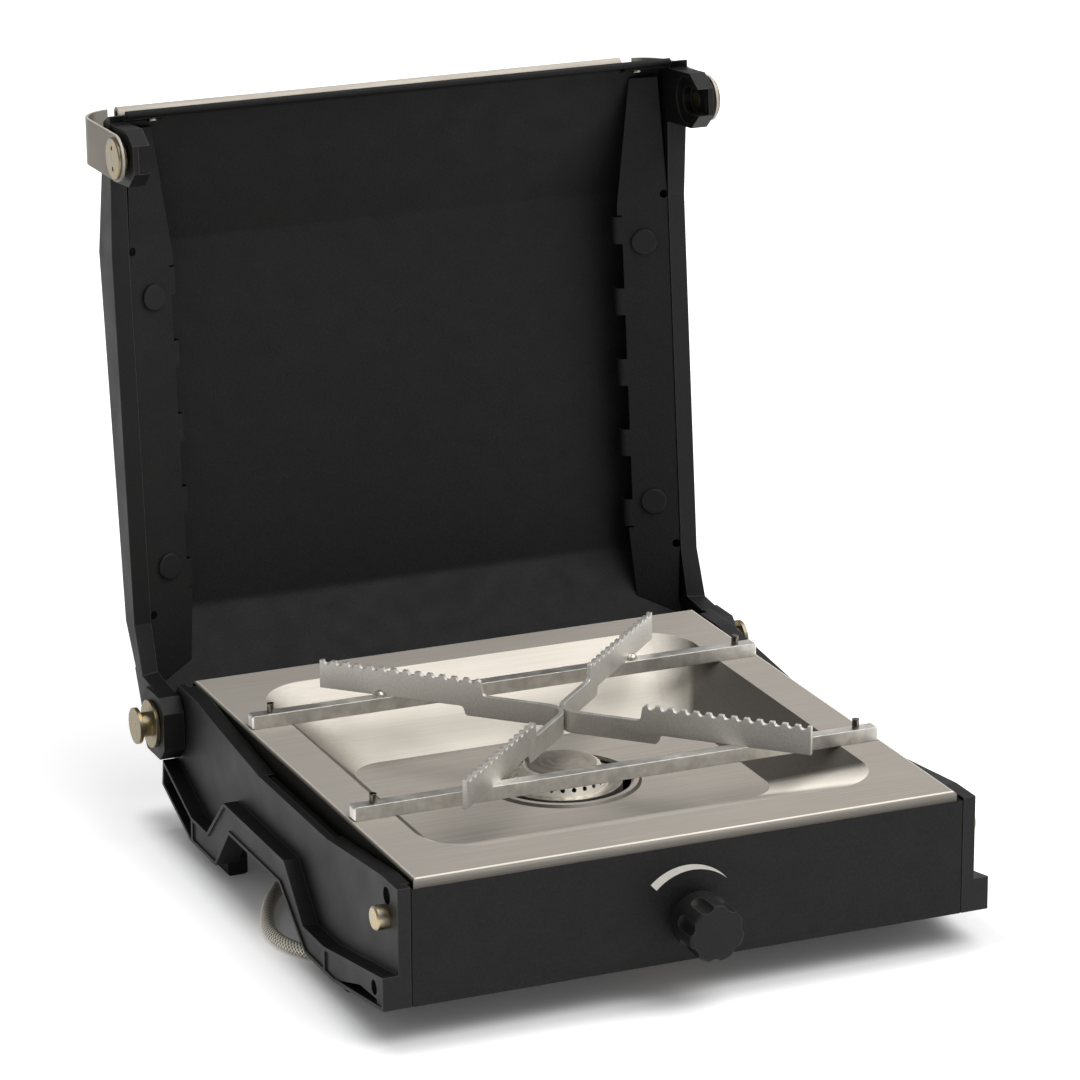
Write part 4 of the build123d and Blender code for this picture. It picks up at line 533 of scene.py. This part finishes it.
def make_flow_scale():
    """A thin solid: its front face, its back face, both edges and both ends."""
    low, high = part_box("knob")
    knob_z = (low.z + high.z) / 2
    points = []
    for back in (0.0, INK_MM):
        for i in range(SCALE_STEPS + 1):
            share = i / SCALE_STEPS
            angle = math.radians(SCALE_START_DEG + share * (SCALE_END_DEG - SCALE_START_DEG))
            thickness = SCALE_THICKNESS_MM * (1 - share ** SCALE_TAPER)
            for radius in (SCALE_RADIUS_MM, SCALE_RADIUS_MM - max(thickness, INK_MM)):
                x = (SCALE_CENTRE_MM[0] + radius * math.cos(angle)) * MM
                z = knob_z + (SCALE_CENTRE_MM[1] + radius * math.sin(angle)) * MM
                points.append((x, FRONT_FACE_Y - (INK_MM - back) * MM, z))
    row = 2 * (SCALE_STEPS + 1)
    faces = []
    for i in range(0, row - 2, 2):
        faces.append((i, i + 2, i + 3, i + 1))
        faces.append((row + i + 1, row + i + 3, row + i + 2, row + i))
        faces.append((i, row + i, row + i + 2, i + 2))
        faces.append((i + 1, i + 3, row + i + 3, row + i + 1))
    faces.append((0, 1, row + 1, row))
    faces.append((row - 2, 2 * row - 2, 2 * row - 1, row - 1))
    ink = printed_ink("epoxy_ink_printed", ("#d6d2c8", "#e6e3da"))
    mesh_piece("flow_scale", points, faces, "base", ink)


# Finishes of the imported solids

def dress_solids():
    low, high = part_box("burner_cap")
    burner = (low + high) / 2
    panel_coat = powder_coat("powder_coat_panel", ("#121212", "#1f1f1f"), (0.5, 0.62))
    lid_coat = powder_coat("powder_coat_lid", ("#121212", "#1e1e1e"), (0.55, 0.68))
    frame_nylon = moulded_nylon("nylon_end_frame_moulded", ("#101010", "#1c1c1c"), (0.42, 0.55))
    rail_nylon = moulded_nylon("nylon_lid_rail_moulded", ("#0b0b0b", "#151515"), (0.45, 0.58))
    knob_nylon = moulded_nylon("nylon_knob_moulded", ("#111111", "#1a1a1a"), (0.5, 0.6))
    cam_nylon = moulded_nylon("nylon_cam_moulded", ("#0e0e0e", "#161616"), (0.35, 0.45))
    tray_steel = drawn_tray("stainless_tray_brushed", ("#837e77", "#99948d"), ("#cbc5bb", "#dcd6cc"),
                            (0.55, 0.61))
    bail_steel = brushed_steel("stainless_bail_brushed", ("#9c968d", "#b0aaa0"), (0.45, 0.55),
                               BAIL_STREAK_LENGTH_MM)
    strip_steel = mottled_steel("stainless_strip_tumbled", ("#d8d5cf", "#efece6"), (0.44, 0.54),
                                grain_mm=0.9, relief_mm=0.012)
    bar_steel = mottled_steel("stainless_bar_tumbled", ("#cfccc5", "#f4f1eb"), (0.38, 0.5),
                              grain_mm=5.0, relief_mm=0.02)
    pin_steel = mottled_steel("steel_pin_drawn", ("#3c3832", "#8a847a"), (0.18, 0.3),
                              grain_mm=1.2, relief_mm=0.03)
    weld_steel = mottled_steel("stainless_weld_bead", ("#a59f95", "#ddd8ce"), (0.15, 0.3),
                               grain_mm=1.6, relief_mm=0.2)
    rivet_steel = mottled_steel("stainless_rivet_set", ("#a8a298", "#d5d0c6"), (0.15, 0.28),
                                grain_mm=1.0, relief_mm=0.03)
    cap_steel = turned_steel("stainless_cap_polished", ("#a49e95", "#b5afa6"), (0.5, 0.6), burner,
                             CAP_RING_MM)
    ring_steel = turned_steel("stainless_flame_ring_pressed", ("#efeadf", "#fbf6ec"), (0.45, 0.58), burner,
                              PRESSED_RING_MM)
    bowl_steel = turned_steel("steel_bowl_pressed", ("#b3ada3", "#d3cec4"), (0.3, 0.45), burner,
                              PRESSED_RING_MM)
    bright_zinc = zinc_plate("steel_bright_zinc", ("#85888a", "#b4b6b6"))
    pin_zinc = yellow_zinc("steel_pin_yellow_zinc", ("#7d7972", "#94814f"))
    stud_zinc = yellow_zinc("steel_stud_yellow_zinc", ("#b2ada4", "#c6b07a"))
    brass = turned_brass("brass_turned", ("#8f7136", "#c4a25a"))
    rubber = moulded_rubber("rubber_foot_moulded", ("#141414", "#232221"))
    finishes = {
        panel_coat: ["front_panel", "rear_panel", "base_pan"],
        lid_coat: ["lid_panel", "right_side_flange", "left_side_flange"],
        frame_nylon: ["right_end_frame", "left_end_frame"],
        rail_nylon: ["right_lid_rail", "left_lid_rail", "push_rivets"],
        knob_nylon: ["knob"],
        cam_nylon: ["right_latch_cam", "left_latch_cam"],
        tray_steel: ["drip_tray"],
        bail_steel: ["bail"],
        strip_steel: ["right_strip", "left_strip"],
        bar_steel: ["front_bar", "rear_bar"],
        pin_steel: ["support_pins"],
        weld_steel: ["weld_beads"],
        rivet_steel: ["corner_rivets"],
        cap_steel: ["burner_cap"],
        ring_steel: ["flame_ring"],
        bowl_steel: ["burner_bowl"],
        bright_zinc: ["burner_bracket", "mixer_tube", "frame_screws", "valve_stem", "hose_inlet_ferrule",
                      "hose_end_ferrule"],
        pin_zinc: ["right_hinge_pin", "left_hinge_pin", "right_pivot_rivet", "left_pivot_rivet"],
        stud_zinc: ["right_latch_stud", "left_latch_stud"],
        brass: ["gas_jet", "valve_body", "valve_nut", "gas_inlet_elbow", "hose_end_nut"],
        rubber: ["front_right_foot", "front_left_foot", "rear_right_foot", "rear_left_foot"],
    }
    for material, names in finishes.items():
        for name in names:
            NODES[name].material_slots[0].material = material


# Floor, world and lamp

WHITE = "#ffffff"
FLOOR_HALF = 25.0
FLOOR_WHITE = "#f4f4f4"
# The floor's glow: in the stove's shadow, past a margin round it, and what is added from far start to
# far end. The shadow's middle is moved a little to the right of the stove's.
SHADE_GLOW = 0.045
FLOOR_GLOW = 0.48
GLOW_MARGIN = 0.024
GLOW_SHIFT = 0.008
FAR_GLOW = 0.3
FAR_START = 0.3
FAR_END = 1.6
# The sky's strength at the horizon and overhead, and what that is multiplied by at the left and right
SKY_LOW = 0.45
SKY_HIGH = 0.5
SKY_LEFT = 0.6
SKY_RIGHT = 1.3
LAMP_PLACE = (0.8, -0.45, 1.8)
LAMP_AIM = (0.0, 0.0, 0.05)
LAMP_SIZE = (2.6, 1.6)
LAMP_WATTS = 36.0


def make_floor():
    """A plain white sheet that glows a little away from the stove, so that it stays white there."""
    mesh = bpy.data.meshes.new("floor")
    half = FLOOR_HALF
    corners = [(-half, -half, 0), (half, -half, 0), (half, half, 0), (-half, half, 0)]
    mesh.from_pydata(corners, [], [(0, 1, 2, 3)])
    floor = bpy.data.objects.new("floor", mesh)
    bpy.context.scene.collection.objects.link(floor)
    material = bpy.data.materials.new("paper_white_matt")
    material.use_nodes = True
    tree = material.node_tree
    tree.nodes.clear()

    # How far a point of the floor lies outside the stove's footprint
    place = add(tree, "ShaderNodeTexCoord").outputs["Object"]
    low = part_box("left_end_frame")[0]
    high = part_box("right_end_frame")[1]
    centre = (low + high) / 2 + Vector((GLOW_SHIFT, 0, 0))
    half_size = (high - low) / 2
    side = add(tree, "ShaderNodeVectorMath", {0: place, 1: (centre.x, centre.y, 0)}, operation="SUBTRACT")
    side = add(tree, "ShaderNodeVectorMath", {0: side.outputs["Vector"]}, operation="ABSOLUTE")
    side = add(tree, "ShaderNodeVectorMath", {0: side.outputs["Vector"], 1: half_size}, operation="SUBTRACT")
    side = add(tree, "ShaderNodeVectorMath", {0: side.outputs["Vector"], 1: (0, 0, 0)}, operation="MAXIMUM")
    away = add(tree, "ShaderNodeVectorMath", {0: side.outputs["Vector"]}, operation="LENGTH").outputs["Value"]

    # The glow grows with that distance, and only the camera and reflections see it
    near = add(tree, "ShaderNodeMapRange", {"Value": away, "From Max": GLOW_MARGIN, "To Min": SHADE_GLOW,
                                            "To Max": FLOOR_GLOW}, interpolation_type="SMOOTHSTEP")
    far = add(tree, "ShaderNodeMapRange", {"Value": away, "From Min": FAR_START, "From Max": FAR_END,
                                           "To Max": FAR_GLOW})
    level = add(tree, "ShaderNodeMath", {0: near.outputs["Result"], 1: far.outputs["Result"]},
                operation="ADD")
    path = add(tree, "ShaderNodeLightPath").outputs
    seen = add(tree, "ShaderNodeMath", {0: path["Is Camera Ray"], 1: path["Is Glossy Ray"]}, operation="ADD")
    seen = add(tree, "ShaderNodeMath", {0: seen.outputs["Value"], 1: path["Is Transmission Ray"]},
               operation="ADD", use_clamp=True)
    strength = add(tree, "ShaderNodeMath", {0: seen.outputs["Value"], 1: level.outputs["Value"]},
                   operation="MULTIPLY")
    glow = add(tree, "ShaderNodeEmission", {"Color": linear(WHITE), "Strength": strength.outputs["Value"]})
    matt = add(tree, "ShaderNodeBsdfDiffuse", {"Color": linear(FLOOR_WHITE)})
    both = add(tree, "ShaderNodeAddShader", {0: matt.outputs["BSDF"], 1: glow.outputs["Emission"]})
    add(tree, "ShaderNodeOutputMaterial", {"Surface": both.outputs["Shader"]})
    mesh.materials.append(material)


def make_world():
    """A soft studio: brighter overhead than at the horizon, and on the right than on the left."""
    world = bpy.data.worlds.new("studio")
    bpy.context.scene.world = world
    world.use_nodes = True
    tree = world.node_tree
    way = add(tree, "ShaderNodeTexCoord").outputs["Generated"]
    way = add(tree, "ShaderNodeSeparateXYZ", {"Vector": way}).outputs
    level = add(tree, "ShaderNodeMapRange", {"Value": way["Z"], "To Min": SKY_LOW, "To Max": SKY_HIGH})
    side = add(tree, "ShaderNodeMapRange", {"Value": way["X"], "From Min": -1.0, "From Max": 1.0,
                                            "To Min": SKY_LEFT, "To Max": SKY_RIGHT})
    level = add(tree, "ShaderNodeMath", {0: level.outputs["Result"], 1: side.outputs["Result"]},
                operation="MULTIPLY")
    background = tree.nodes["Background"]
    background.inputs["Color"].default_value = linear(WHITE)
    tree.links.new(level.outputs["Value"], background.inputs["Strength"])


def make_lamp():
    """A wide soft box above the stove and to its right."""
    data = bpy.data.lights.new("top_box", "AREA")
    data.shape = "RECTANGLE"
    data.size, data.size_y = LAMP_SIZE
    data.energy = LAMP_WATTS
    lamp = bpy.data.objects.new("top_box", data)
    lamp.location = LAMP_PLACE
    lamp.rotation_euler = (Vector(LAMP_AIM) - Vector(LAMP_PLACE)).to_track_quat("-Z", "Y").to_euler()
    bpy.context.scene.collection.objects.link(lamp)


make_camera()
make_hose()
make_flow_scale()
dress_solids()
make_floor()
make_world()
make_lamp()
bpy.context.scene.view_settings.view_transform = "Standard"
